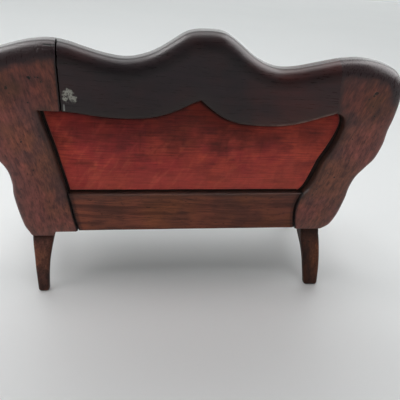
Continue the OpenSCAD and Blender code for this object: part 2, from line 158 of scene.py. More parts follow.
# ---------------------------------------------------------------------------
# meshes
def mesh_object(name, verts, faces, attrs=None, sharp=38):
    me = bpy.data.meshes.new(name)
    me.from_pydata([tuple(v) for v in verts], [], [tuple(int(i) for i in f) for f in faces])
    for key, values in (attrs or {}).items():
        a = me.attributes.new(key, "FLOAT", "POINT")
        a.data.foreach_set("value", np.asarray(values, np.float32))
    me.validate()
    import bmesh
    bm = bmesh.new()
    bm.from_mesh(me)
    bmesh.ops.recalc_face_normals(bm, faces=bm.faces)
    bm.to_mesh(me)
    bm.free()
    me.shade_smooth()
    if sharp:
        me.set_sharp_from_angle(angle=math.radians(sharp))
    o = bpy.data.objects.new(name, me)
    bpy.context.scene.collection.objects.link(o)
    return o


def dist_to(p, poly):
    """Distance of points to a polyline, and the nearest points."""
    a, b = poly[:-1], poly[1:]
    ab = b - a
    L = np.maximum((ab ** 2).sum(1), 1e-12)
    best, near = np.full(len(p), 1e9), np.zeros((len(p), 2))
    for k in range(0, len(p), 800):
        q = p[k:k + 800]
        t = np.clip(((q[:, None] - a) * ab).sum(2) / L, 0, 1)
        c = a + t[..., None] * ab
        d = np.linalg.norm(q[:, None] - c, axis=2)
        j = d.argmin(1)
        best[k:k + 800] = d[np.arange(len(q)), j]
        near[k:k + 800] = c[np.arange(len(q)), j]
    return best, near


def inside(p, poly):
    a, b = poly, np.roll(poly, -1, 0)
    hit = np.zeros(len(p), bool)
    for (x0, y0), (x1, y1) in zip(a, b):
        c = (y0 > p[:, 1]) != (y1 > p[:, 1])
        with np.errstate(divide="ignore", invalid="ignore"):
            hit ^= c & (p[:, 0] < (x1 - x0) * (p[:, 1] - y0) / (y1 - y0) + x0)
    return hit


class Side:
    """One edge of a board: its line, its rounding on the back and front faces, and a rebate cut from the front.
    The rounding of the back face may spread further over the face than it cuts into the edge."""
    def __init__(self, line, back, front=None, rebate=None, kind="plain", step=0.9, spread=1.0, groove=None):
        self.line, self.back, self.front = even(line, step), back, back if front is None else front
        self.rebate, self.kind, self.spread, self.groove = rebate, kind, spread, groove

    def radius(self, which, near):
        r = self.back if which == "back" else self.front
        return r(near) if callable(r) else np.full(len(near), float(r))

    def reach(self, which, near):
        if which == "front":
            return np.ones(len(near))
        return self.spread(near) if callable(self.spread) else np.full(len(near), float(self.spread))


def rounding(r, d):
    d = np.minimum(d, r)
    return r - np.sqrt(np.maximum(r * r - (r - d) ** 2, 0))


def board(name, sides, t, place, w0=0.0, grid=1.3, lift_back=None, lift_front=None, rows=5, sharp=38, open_front=False):
    """A board sawn to an outline. Both faces are height fields over the outline, so every edge has its own rounding."""
    outline = np.vstack([s.line[:-1] for s in sides])
    area = 0.5 * np.sum(outline[:, 0] * np.roll(outline[:, 1], -1) - outline[:, 1] * np.roll(outline[:, 0], -1))
    pts = [outline]
    for s in sides:
        tan = np.gradient(s.line, axis=0)
        nrm = np.c_[-tan[:, 1], tan[:, 0]] / np.maximum(np.linalg.norm(tan, axis=1), 1e-9)[:, None]
        nrm = nrm if area > 0 else -nrm
        insets = []
        for which in ("back", "front"):
            r = float(np.max(s.radius(which, s.line) * s.reach(which, s.line)))
            insets += [r * k for k in ((0.012, 0.05, 0.11, 0.2, 0.32, 0.46, 0.62, 0.8, 1.0) if r > 6 else (0.035, 0.14, 0.32, 0.56, 0.82, 1.0))]
        cut = [c[0] for c in (s.rebate, s.groove) if c]
        for c in cut:
            insets += [c - 0.04, c]
        kept = []
        for v in sorted(insets):
            if v > 0.03 and (not kept or v - kept[-1] > 0.1 or any(abs(v - c) < 0.05 for c in cut)):
                kept.append(v)
        for v in kept:
            q = s.line + nrm * v
            d, _ = dist_to(q, s.line)
            q = q[(d > v - 0.02)]
            pts.append(q[inside(q, outline)])
    near = np.vstack(pts[1:]) if len(pts) > 1 else np.zeros((0, 2))
    closed = np.vstack([outline, outline[:1]])
    if len(near):
        d, _ = dist_to(near, closed)
        near = near[d > 0.02]
        keys = np.unique(np.round(near / 0.03).astype(int), axis=0, return_index=True)[1]
        near = near[np.sort(keys)]
    lo, hi = outline.min(0), outline.max(0)
    gx, gy = np.meshgrid(np.arange(lo[0], hi[0], grid), np.arange(lo[1], hi[1], grid * 0.87))
    gx = gx + (np.arange(gx.shape[0])[:, None] % 2) * grid / 2
    fill = np.c_[gx.ravel(), gy.ravel()]
    fill = fill[inside(fill, outline)]
    fill = fill[dist_to(fill, closed)[0] > grid * 0.55]
    if len(near):
        from mathutils import kdtree
        kd = kdtree.KDTree(len(near))
        for i, q in enumerate(near):
            kd.insert((q[0], q[1], 0), i)
        kd.balance()
        fill = np.array([q for q in fill if kd.find((q[0], q[1], 0))[2] > grid * 0.5]).reshape(-1, 2)
    allp = np.vstack([outline, near, fill])
    n = len(outline)
    co, _, tris, orig, _, _ = geometry.delaunay_2d_cdt([Vector(p) for p in allp], [], [list(range(n))], 1, 1e-6)
    p = np.array([tuple(c) for c in co])
    rim_of = np.full(n, -1)
    for i, src in enumerate(orig):
        for k in src:
            if k < n:
                rim_of[k] = i
    height = {}
    for which in ("back", "front"):
        acc = np.zeros(len(p))
        for s in sides:
            d, c = dist_to(p, s.line)
            acc += rounding(np.maximum(s.radius(which, c), 1e-3), d / s.reach(which, c)) ** 4
        height[which] = acc ** 0.25
    for s in sides:
        if s.rebate:
            d, _ = dist_to(p, s.line)
            height["front"] = np.where(d < s.rebate[0] - 0.02, np.maximum(height["front"], s.rebate[1]), height["front"])
        if s.groove:
            d, _ = dist_to(p, s.line)
            height["back"] = np.where(d < s.groove[0] - 0.02, np.maximum(height["back"], s.groove[1]), height["back"])
    hb, hf = height["back"], height["front"]
    if lift_back is not None:
        hb = hb + lift_back(p)
    if lift_front is not None:
        hf = hf + lift_front(p)
    m = len(p)
    xs, vs, ws = [p[:, 0], p[:, 0]], [p[:, 1], p[:, 1]], [w0 + hb, w0 + t - hf]
    faces = [tuple(reversed(f)) for f in tris]
    if not open_front:
        faces += [tuple(i + m for i in f) for f in tris]
    rings = [rim_of]
    for k in range(1, rows):
        f = k / rows
        start = sum(len(a) for a in xs)
        xs.append(p[rim_of, 0]); vs.append(p[rim_of, 1])
        ws.append((1 - f) * (w0 + hb[rim_of]) + f * (w0 + t - hf[rim_of]))
        rings.append(np.arange(start, start + n))
    rings.append(rim_of + m)
    for a, b in zip(rings[:-1], rings[1:]):
        for i in range(n):
            j = (i + 1) % n
            faces.append((a[i], a[j], b[j], b[i]))
    X, V, W = np.concatenate(xs), np.concatenate(vs), np.concatenate(ws)
    attrs = {}
    q = np.c_[X, V]
    for kind, reach in (("rim", 4.0), ("lip", 2.6), ("seam", 0.7), ("join", 3.5)):
        got = [dist_to(q, s.line)[0] for s in sides if s.kind == kind]
        attrs[kind] = np.exp(-np.min(got, 0) / reach) if got else np.zeros(len(q))
    o = mesh_object(name, place(X, V, W), faces, attrs, sharp)
    return o


def rounded_ring(x0, x1, d0, d1, r, k=5, m=3):
    """Closed ring of points of a rectangle with rounded corners."""
    r = min(r, (x1 - x0) / 2 * 0.98, (d1 - d0) / 2 * 0.98)
    corners = [(x1 - r, d1 - r, 0), (x0 + r, d1 - r, 90), (x0 + r, d0 + r, 180), (x1 - r, d0 + r, 270)]
    pts = []
    for i, (cx, cy, a) in enumerate(corners):
        arc = [(cx + r * math.cos(math.radians(a + 90 * j / k)), cy + r * math.sin(math.radians(a + 90 * j / k))) for j in range(k + 1)]
        nx, ny, na = corners[(i + 1) % 4]
        end = (nx + r * math.cos(math.radians(na)), ny + r * math.sin(math.radians(na)))
        pts += arc
        pts += [(arc[-1][0] + (end[0] - arc[-1][0]) * j / (m + 1), arc[-1][1] + (end[1] - arc[-1][1]) * j / (m + 1)) for j in range(1, m + 1)]
    return np.array(pts)


def loft(name, rings, attrs=None, sharp=45):
    """Closed skin through rings of equal length, capped at both ends."""
    n = len(rings[0])
    verts = np.vstack(rings)
    faces = []
    for a in range(len(rings) - 1):
        for i in range(n):
            j = (i + 1) % n
            faces.append((a * n + i, a * n + j, (a + 1) * n + j, (a + 1) * n + i))
    faces.append(tuple(range(n))[::-1])
    faces.append(tuple(range((len(rings) - 1) * n, len(rings) * n)))
    return mesh_object(name, verts, faces, attrs, sharp)


def at(profile, z):
    """Value of a curve given as (value, z) control points, at heights z."""
    P = cr(profile, 12)
    P = P[np.argsort(P[:, 1])]
    return np.interp(z, P[:, 1], P[:, 0])


# ---------------------------------------------------------------------------
# materials
class Mat:
    def __init__(self, name):
        self.m = bpy.data.materials.new(name)
        self.m.use_nodes = True
        self.t = self.m.node_tree
        self.t.nodes.clear()
        self.out = self.t.nodes.new("ShaderNodeOutputMaterial")
        self.b = self.t.nodes.new("ShaderNodeBsdfPrincipled")
        self.t.links.new(self.b.outputs[0], self.out.inputs[0])

    def put(self, socket, value):
        if isinstance(value, bpy.types.NodeSocket):
            self.t.links.new(value, socket)
        elif value is not None:
            socket.default_value = value

    def set(self, **kw):
        for k, v in kw.items():
            self.put(self.b.inputs[k.replace("_", " ")], v)
        return self

    def node(self, kind, **kw):
        n = self.t.nodes.new(kind)
        for k, v in kw.items():
            setattr(n, k, v)
        return n

    def coords(self):
        return self.node("ShaderNodeTexCoord").outputs["Object"]

    def mapping(self, vec, loc=(0, 0, 0), rot=(0, 0, 0), scale=(1, 1, 1)):
        n = self.node("ShaderNodeMapping")
        self.put(n.inputs["Vector"], vec)
        n.inputs["Location"].default_value = loc
        n.inputs["Rotation"].default_value = rot
        n.inputs["Scale"].default_value = scale
        return n.outputs[0]

    def noise(self, vec, scale=1.0, detail=2.0, rough=0.5, distortion=0.0):
        n = self.node("ShaderNodeTexNoise")
        self.put(n.inputs["Vector"], vec)
        for k, v in (("Scale", scale), ("Detail", detail), ("Roughness", rough), ("Distortion", distortion)):
            n.inputs[k].default_value = v
        return n.outputs[0]

    def noise_col(self, vec, scale=1.0, detail=2.0):
        n = self.node("ShaderNodeTexNoise")
        self.put(n.inputs["Vector"], vec)
        n.inputs["Scale"].default_value = scale
        n.inputs["Detail"].default_value = detail
        return n.outputs[1]

    def voronoi(self, vec, scale=1.0, feature="F1", rand=1.0):
        n = self.node("ShaderNodeTexVoronoi", feature=feature)
        self.put(n.inputs["Vector"], vec)
        n.inputs["Scale"].default_value = scale
        n.inputs["Randomness"].default_value = rand
        return n.outputs["Distance"]

    def math(self, op, a, b=None, c=None, clamp=False):
        n = self.node("ShaderNodeMath", operation=op, use_clamp=clamp)
        for i, v in enumerate((a, b, c)):
            if v is not None:
                self.put(n.inputs[i], v)
        return n.outputs[0]

    def vmath(self, op, a, b=None, scale=None):
        n = self.node("ShaderNodeVectorMath", operation=op)
        self.put(n.inputs[0], a)
        if b is not None:
            self.put(n.inputs[1], b)
        if scale is not None:
            self.put(n.inputs["Scale"], scale)
        return n.outputs["Value"] if op in ("DOT_PRODUCT", "LENGTH", "DISTANCE") else n.outputs[0]

    def split(self, vec):
        n = self.node("ShaderNodeSeparateXYZ")
        self.put(n.inputs[0], vec)
        return n.outputs

    def ramp(self, fac, lo, hi, a=0.0, b=1.0, smooth=True):
        n = self.node("ShaderNodeMapRange", interpolation_type="SMOOTHSTEP" if smooth else "LINEAR")
        self.put(n.inputs[0], fac)
        for i, v in ((1, lo), (2, hi), (3, a), (4, b)):
            self.put(n.inputs[i], v)
        return n.outputs[0]

    def mix(self, fac, a, b, blend="MIX"):
        n = self.node("ShaderNodeMix", data_type="RGBA", blend_type=blend)
        self.put(n.inputs[0], fac)
        for i, v in ((6, a), (7, b)):
            self.put(n.inputs[i], tuple(v) + (1.0,) if isinstance(v, (tuple, list)) and len(v) == 3 else v)
        return n.outputs[2]

    def attr(self, name):
        return self.node("ShaderNodeAttribute", attribute_name=name).outputs["Fac"]

    def bump(self, height, strength, distance, normal=None):
        n = self.node("ShaderNodeBump")
        n.inputs["Strength"].default_value = strength
        n.inputs["Distance"].default_value = distance
        self.put(n.inputs["Height"], height)
        if normal is not None:
            self.put(n.inputs["Normal"], normal)
        return n.outputs[0]


def spot(m, P, at_mm, radius, soft=0.4, ragged=None):
    """1 inside a small blot round a point given in mm, 0 outside."""
    d = m.vmath("DISTANCE", P, tuple(at_mm))
    if ragged is not None:
        d = m.math("ADD", d, ragged)
    return m.ramp(d, radius * (1 - soft), radius, 1.0, 0.0)


def most(m, masks):
    out = masks[0]
    for k in masks[1:]:
        out = m.math("MAXIMUM", out, k)
    return out


def wood(name, rot, red, brown, dark, rough=0.42, pore=1.0, fibre=1.0, blotch=0.045, coat=0.05, rim=None, spots=(), extra=None, sheen=0.32,
         length=0.06, figure=1.0, mottle=0.0, contrast=1.0):
    """Polished, open-pored wood with the grain along the rotated X axis."""
    m = Mat(name)
    P = m.mapping(m.coords(), scale=(1000, 1000, 1000))
    G = m.mapping(P, rot=rot)
    drift = m.vmath("SCALE", m.vmath("SUBTRACT", m.noise_col(m.mapping(G, scale=(0.02, 0.05, 0.05)), 1.0, 1.0), (0.5, 0.5, 0.5)), scale=7.0)
    W = m.vmath("ADD", G, drift)
    bands = m.noise(m.mapping(W, scale=(0.012, 0.30, 0.30)), 1.0, 3.0, 0.6)
    fine = m.noise(m.mapping(W, scale=(length, 1.7, 1.7)), 1.0, 4.0, 0.62)
    hair = m.noise(m.mapping(W, scale=(0.10, 4.2, 4.2)), 1.0, 2.0, 0.6)
    pores = m.ramp(m.noise(m.mapping(W, scale=(0.30, 2.6, 2.6)), 1.0, 2.0, 0.5), 0.60, 0.72)
    pits = m.ramp(m.noise(m.mapping(W, loc=(31, 7, 3), scale=(0.42, 1.25, 1.25)), 1.0, 2.0, 0.5), 0.645, 0.73)
    patch = m.noise(m.mapping(P, loc=(11, 5, 2)), blotch, 2.0, 0.55)
    patch2 = m.noise(m.mapping(P, loc=(53, 17, 9)), blotch * 1.7, 2.0, 0.5)
    c = m.mix(m.ramp(patch, 0.36, 0.64), red, brown)
    c = m.mix(m.ramp(patch2, 0.50, 0.72, 0.0, 0.75), c, dark)
    tone = m.math("ADD", m.math("MULTIPLY", bands, 0.9 * figure), m.math("MULTIPLY", fine, 0.7 * fibre))
    if mottle:
        cloudy = m.noise(m.mapping(W, loc=(2, 9, 4), scale=(0.24, 0.52, 0.52)), 1.0, 4.0, 0.65)
        tone = m.math("ADD", tone, m.math("MULTIPLY", cloudy, mottle))
    total = 0.9 * figure + 0.7 * fibre + mottle
    c = m.mix(m.ramp(tone, total * 0.36, total * 0.64), m.mix(1.0, c, tuple(1 - contrast * k for k in (0.50, 0.54, 0.54)), "MULTIPLY"),
              m.mix(1.0, c, tuple(1 + contrast * k for k in (0.48, 0.42, 0.38)), "MULTIPLY"))
    holes = m.math("MULTIPLY", m.math("MAXIMUM", m.math("MULTIPLY", pores, 0.62), m.math("MULTIPLY", pits, 0.8)), pore, clamp=True)
    c = m.mix(holes, c, tuple(k * 0.22 for k in dark))
    if rim:
        # Outer rounded edges take the rim tone: on the stiles, crest and seat rails a pale greyish tone, partly wear
        # and partly painted sheen; on the back rail a darker painted shade along its lower edge.
        c = m.mix(m.math("MULTIPLY", m.attr("rim"), rim[1]), c, rim[0])
        # Inner edges round the opening take painted shade with a greyish painted sheen; on the near-black crest the
        # same tone is lighter, a painted highlight along its lower arris.
        c = m.mix(m.math("MULTIPLY", m.attr("lip"), 0.72), c, (0.030, 0.024, 0.020))
        c = m.mix(m.ramp(m.attr("seam"), 0.22, 0.8, 0.0, 0.95), c, (0.004, 0.003, 0.003))
    height = m.math("ADD", m.math("MULTIPLY", fine, 0.5), m.math("MULTIPLY", hair, 0.3))
    height = m.math("SUBTRACT", height, m.math("MULTIPLY", holes, 0.9))
    if spots:
        ragged = m.ramp(m.noise(P, 1.1, 2.0), 0.2, 0.8, -0.35, 0.35, smooth=False)
        mask = most(m, [spot(m, P, q, r, ragged=ragged) for q, r in spots])
        c = m.mix(mask, c, (0.006, 0.004, 0.0035))
        height = m.math("SUBTRACT", height, m.math("MULTIPLY", mask, 2.5))
    rg = m.math("ADD", m.ramp(fine, 0.25, 0.8, rough - 0.08, rough + 0.10, smooth=False), m.math("MULTIPLY", holes, 0.25))
    m.P, m.G, m.W, m.colour, m.height, m.rough = P, G, W, c, height, rg
    if extra:
        extra(m)
    m.set(Base_Color=m.colour, Roughness=m.rough, Normal=m.bump(m.height, 0.5, 0.00016))
    m.b.inputs["Specular IOR Level"].default_value = sheen
    m.b.inputs["Coat Weight"].default_value = coat
    m.b.inputs["Coat Roughness"].default_value = 0.32
    return m


def rotation_to(direction):
    """Euler angles that turn a grain direction onto the X axis."""
    return Vector(direction).rotation_difference(Vector((1, 0, 0))).to_euler()


def bp(x, v, w=0.0):
    return tuple(in_back(np.array([x]), np.array([v]), np.array([w]))[0] * 1000)


def crest_marks(m):
    """A split along the top, a scuffed patch of old glue and a pale sliver on the smooth dark polish of the crest;
    painted shade in a dark band under the rounded top, a painted highlight along the lower arris, and a redder tone
    towards the right stile.
    """
    X = m.split(m.P)
    depth = m.vmath("DOT_PRODUCT", m.vmath("SUBTRACT", m.P, (0.0, Y0, LEG_H)), (0.0, -CL, SL))
    wander = m.ramp(m.noise(m.mapping(m.P, scale=(0.05, 0.01, 0.01)), 1.0, 2.0), 0.2, 0.8, -0.5, 0.5, smooth=False)
    off = m.math("ABSOLUTE", m.math("SUBTRACT", m.math("ADD", depth, wander), 5.6))
    line = m.math("MULTIPLY", m.ramp(off, 0.10, 0.32, 1.0, 0.0), m.ramp(X[0], -16.0, -22.0, 0.0, 1.0))
    line2 = m.math("MULTIPLY", m.ramp(off, 0.10, 0.28, 1.0, 0.0), m.math("MULTIPLY", m.ramp(X[0], -7.5, -5.0, 0.0, 1.0), m.ramp(X[0], 0.0, 2.0, 1.0, 0.0)))
    line = m.math("MULTIPLY", m.math("MAXIMUM", line, line2), m.ramp(X[2], 118.0, 121.0, 0.0, 1.0))
    m.colour = m.mix(line, m.colour, (0.002, 0.0015, 0.0015))
    m.height = m.math("SUBTRACT", m.height, m.math("MULTIPLY", line, 2.0))
    rag = m.ramp(m.noise(m.P, 0.55, 4.0, 0.7), 0.2, 0.8, -1.7, 1.7, smooth=False)
    a = spot(m, m.P, bp(55.9, 76.0), 2.5, 0.35, rag)
    b = spot(m, m.P, bp(53.9, 74.0), 1.7, 0.35, rag)
    c = spot(m, m.P, bp(57.3, 73.8), 1.5, 0.4, rag)
    glue = m.math("MULTIPLY", most(m, [a, b, c]), m.ramp(m.noise(m.P, 0.9, 3.0, 0.7), 0.36, 0.52))
    m.colour = m.mix(m.math("MULTIPLY", glue, 0.9), m.colour, (0.33, 0.325, 0.28))
    v = m.vmath("DOT_PRODUCT", m.vmath("SUBTRACT", m.P, (0.0, Y0, LEG_H)), (0.0, SL, CL))
    sliver = m.math("MULTIPLY", m.ramp(m.math("ABSOLUTE", m.math("SUBTRACT", X[0], 58.0)), 0.2, 0.45, 1.0, 0.0), m.math("MULTIPLY", m.ramp(v, 67.9, 68.5, 0.0, 1.0), m.ramp(v, 70.6, 71.6, 1.0, 0.0)))
    m.colour = m.mix(m.math("MULTIPLY", sliver, 0.8), m.colour, (0.26, 0.26, 0.24))
    # Painted shade: a dark band just under the rounded top edge.
    under = m.math("MULTIPLY", m.ramp(m.attr("rim"), 0.10, 0.22), m.ramp(m.attr("rim"), 0.48, 0.34))
    m.colour = m.mix(m.math("MULTIPLY", under, 0.75), m.colour, m.mix(1.0, m.colour, (0.42, 0.40, 0.42), "MULTIPLY"))
    # Painted highlight: a pale grey line along the lower arris, towards the right end.
    arris_highlight = m.math("MULTIPLY", m.ramp(m.attr("lip"), 0.50, 0.80), m.ramp(X[0], -22.0, -40.0, 0.08, 1.0))
    arris_highlight = m.math("MULTIPLY", arris_highlight, m.ramp(m.noise(m.mapping(m.P, scale=(0.3, 0.8, 0.8)), 1.0, 3.0, 0.6), 0.35, 0.6))
    m.colour = m.mix(m.math("MULTIPLY", arris_highlight, 0.7), m.colour, (0.105, 0.100, 0.094))
    m.colour = m.mix(m.ramp(X[0], -12.0, -40.0, 0.0, 0.85), m.colour, m.mix(1.0, m.colour, (2.0, 1.2, 1.0), "MULTIPLY"))
    m.rough = m.math("ADD", m.rough, m.math("MULTIPLY", glue, 0.35))
    m.height = m.math("ADD", m.height, m.math("MULTIPLY", glue, 1.2))


def stile_marks(m):
    """Streaked figure down the stiles, a few warm rubbed places, darker towards the top, and painted shade over the
    ears: a dark band under their rounded tops, in the crest's near-black colour.
    """
    v = m.vmath("DOT_PRODUCT", m.vmath("SUBTRACT", m.P, (0.0, Y0, LEG_H)), (0.0, SL, CL))
    ragged = m.ramp(m.noise(m.mapping(m.P, loc=(5, 1, 8)), 0.22, 3.0, 0.6), 0.2, 0.8, -0.07, 0.07, smooth=False)
    # cap marks the painted shade under the ears' rounded tops.
    cap = m.math("MULTIPLY", m.ramp(m.math("ADD", m.attr("rim"), ragged), 0.10, 0.28), m.ramp(v, 68.0, 84.0))
    warm = most(m, [spot(m, m.P, bp(77.0, 77.4), 5.0, 0.8), spot(m, m.P, bp(-80.4, 78.0), 6.0, 0.85), spot(m, m.P, bp(83.0, 58.0), 6.0, 0.9)])
    m.colour = m.mix(m.math("MULTIPLY", warm, 0.5), m.colour, (0.115, 0.046, 0.018))
    cloud = m.noise(m.mapping(m.P, loc=(41, 13, 27), scale=(0.15, 0.1, 0.085)), 1.0, 3.0, 0.6)
    m.colour = m.mix(m.ramp(cloud, 0.52, 0.70, 0.0, 0.75), m.colour, m.mix(1.0, m.colour, (0.60, 0.60, 0.66), "MULTIPLY"))
    m.colour = m.mix(m.ramp(cloud, 0.46, 0.30, 0.0, 0.75), m.colour, m.mix(1.0, m.colour, (1.32, 1.24, 1.12), "MULTIPLY"))
    streak = m.ramp(m.noise(m.mapping(m.W, loc=(3, 19, 5), scale=(0.13, 0.95, 0.95)), 1.0, 3.0, 0.65), 0.46, 0.72)
    m.colour = m.mix(m.math("MULTIPLY", streak, 0.42), m.colour, m.mix(1.0, m.colour, (1.75, 1.62, 1.55), "MULTIPLY"))
    m.colour = m.mix(m.ramp(v, 62.0, 80.0, 0.0, 1.0), m.colour, m.mix(1.0, m.colour, (0.68, 0.61, 0.53), "MULTIPLY"))
    # The ears take painted shade in the crest's near-black colour, a little glossier.
    m.colour = m.mix(m.math("MULTIPLY", cap, 0.94), m.colour, (0.021, 0.0110, 0.0130))
    m.rough = m.math("SUBTRACT", m.rough, m.math("MULTIPLY", cap, 0.15))
    x = m.split(m.P)[0]
    chip = m.math("MULTIPLY", m.ramp(m.math("ABSOLUTE", m.math("SUBTRACT", v, 94.85)), 0.16, 0.34, 1.0, 0.0), m.math("MULTIPLY", m.ramp(x, 59.0, 59.6, 0.0, 1.0), m.ramp(x, 63.4, 64.4, 1.0, 0.0)))
    m.colour = m.mix(chip, m.colour, (0.003, 0.002, 0.002))
    m.colour = m.mix(m.math("MULTIPLY", m.ramp(m.math("ADD", m.attr("join"), ragged), 0.12, 0.9), 0.85), m.colour, (0.024, 0.0125, 0.0135))
    m.height = m.math("SUBTRACT", m.height, m.math("MULTIPLY", chip, 2.0))


def rail_marks(m):
    """The rail is darker towards one end, and painted shade darkens it beside both stiles, which stand proud of it."""
    x = m.split(m.P)[0]
    m.colour = m.mix(m.ramp(x, 30.0, -50.0, 0.0, 1.0), m.colour, m.mix(1.0, m.colour, (0.66, 0.62, 0.66), "MULTIPLY"))
    # Painted shade beside both stiles.
    m.colour = m.mix(m.ramp(m.attr("seam"), 0.002, 0.12, 0.0, 0.8), m.colour, m.mix(1.0, m.colour, (0.42, 0.38, 0.36), "MULTIPLY"))


def leg_marks(s):
    """Painted shade under the stile, whose overhang shades the leg's top, and down the inner flank; darker towards the
    foot and lighter through the middle.
    """
    def marks(m):
        X = m.split(m.P)
        inner = m.math("SUBTRACT", m.math("MULTIPLY", X[0], s), m.math("MULTIPLY", X[2], -0.09))
        rag = m.ramp(m.noise(m.mapping(m.W, scale=(0.1, 0.5, 0.5)), 1.0, 3.0, 0.6), 0.2, 0.8, -1.2, 1.2, smooth=False)
        # edge and under are painted shade: down the inner flank and under the stile's overhang.
        edge = m.ramp(m.math("ADD", inner, rag), 76.4, 73.2, 0.0, 0.75)
        under = m.ramp(m.math("ADD", X[2], m.math("MULTIPLY", rag, 0.8)), 25.5, 30.5, 0.0, 0.9)
        foot = m.ramp(m.math("ADD", X[2], rag), 11.0, 3.0, 0.0, 0.6)
        m.colour = m.mix(most(m, [edge, under, foot]), m.colour, m.mix(1.0, m.colour, (0.24, 0.22, 0.26), "MULTIPLY"))
        # Lighter through the middle.
        rubbed = m.math("MULTIPLY", m.ramp(X[2], 8.0, 15.0), m.ramp(X[2], 27.0, 22.0))
        m.colour = m.mix(m.math("MULTIPLY", rubbed, 0.5), m.colour, m.mix(1.0, m.colour, (1.35, 1.4, 1.15), "MULTIPLY"))
    return marks


LEFT_SPOTS = [(bp(70.6, 82.2), 0.8), (bp(68.1, 82.5), 0.42), (bp(67.0, 82.4), 0.35), (bp(79.9, 77.6), 0.8), (bp(66.0, 80.6), 0.35),
              (bp(79.0, 75.2), 0.35), (bp(72.2, 71.4), 0.32), (bp(84.6, 62.5), 0.45), (bp(77.5, 52.6), 0.4), (bp(74.2, 38.0), 0.35)]
RIGHT_SPOTS = [(bp(-79.9, 82.5), 1.15), (bp(-79.3, 81.2), 0.6), (bp(-77.4, 79.4), 0.5), (bp(-80.6, 76.0), 0.4), (bp(-83.2, 71.2), 0.4), (bp(-76.3, 58.6), 0.42), (bp(-73.8, 36.0), 0.55),
               (bp(-66.4, 28.4), 0.5), (bp(-65.0, 24.6), 0.45), (bp(-84.4, 56.2), 0.4), (bp(-69.6, 38.6), 0.32), (bp(-78.6, 46.4), 0.4)]
RED, BROWN, DARK = (0.172, 0.049, 0.039), (0.160, 0.053, 0.029), (0.080, 0.030, 0.031)
# Pale greyish tone of the outer rounded edges: partly wear, partly painted sheen.
RIM_WEAR_AND_SHEEN = (0.112, 0.070, 0.067)
STILE = dict(length=0.2, figure=0.35, mottle=1.0, sheen=0.27, pore=0.65, contrast=1.0)
m_left = wood("mahogany_left", rotation_to((0.16, 0.17, 0.97)), RED, BROWN, DARK, rough=0.46, spots=LEFT_SPOTS, rim=(RIM_WEAR_AND_SHEEN, 0.55), extra=stile_marks, **STILE)
m_right = wood("mahogany_right", rotation_to((-0.16, 0.17, 0.97)), RED, BROWN, DARK, rough=0.44, spots=RIGHT_SPOTS, rim=(RIM_WEAR_AND_SHEEN, 0.55), extra=stile_marks, **STILE)
m_crest = wood("dark_crest", rotation_to((1, 0.02, 0.03)), (0.0160, 0.0078, 0.0104), (0.0255, 0.0088, 0.0096), (0.0120, 0.0066, 0.0090), rough=0.31,
               pore=0.22, fibre=0.4, figure=0.6, contrast=0.5, sheen=0.27, rim=((0.018, 0.013, 0.0135), 0.4), extra=crest_marks)
# The back rail's dark rim tone is painted shade along its lower rounded edge.
m_rail = wood("rail_wood", rotation_to((1, 0, 0.03)), (0.190, 0.050, 0.025), (0.212, 0.062, 0.022), (0.104, 0.031, 0.018), rough=0.5, pore=0.8,
              rim=((0.05, 0.022, 0.015), 0.35), blotch=0.035, sheen=0.24, extra=rail_marks)
m_front = wood("mahogany_front", rotation_to((1, 0, 0.02)), RED, BROWN, DARK, rough=0.42, rim=(RIM_WEAR_AND_SHEEN, 0.3))
m_side = wood("mahogany_side", rotation_to((0.1, 1, 0.02)), RED, BROWN, DARK, rough=0.44, rim=(RIM_WEAR_AND_SHEEN, 0.3))
m_leg_l = wood("brown_leg", rotation_to((0.02, 0.25, 0.97)), (0.125, 0.041, 0.025), (0.110, 0.038, 0.020), (0.042, 0.016, 0.013), rough=0.44, pore=0.8, sheen=0.18, extra=leg_marks(1))
# The right leg's wood is a darker copy of the left leg's: painted shade.
m_leg_r = wood("shaded_right_leg", rotation_to((-0.02, 0.25, 0.97)), (0.098, 0.028, 0.013), (0.088, 0.026, 0.010), (0.028, 0.010, 0.008), rough=0.44, pore=0.8, sheen=0.16, extra=leg_marks(-1))
m_leg_f = wood("front_leg_wood", rotation_to((0.05, 0, 1)), RED, BROWN, DARK, rough=0.42)
m_arm = wood("arm_wood", rotation_to((0.03, 1, 0.05)), RED, BROWN, DARK, rough=0.38, coat=0.1)
m_inner = wood("bare_wood", rotation_to((1, 0, 0)), (0.50, 0.36, 0.21), (0.55, 0.41, 0.25), (0.36, 0.24, 0.14), rough=0.7, pore=0.35, coat=0.0, sheen=0.3)
m_stain = wood("stained_board", rotation_to((1, 0, 0)), (0.014, 0.009, 0.007), (0.017, 0.010, 0.008), (0.009, 0.006, 0.005), rough=0.75, pore=0.5, coat=0.0, sheen=0.2)


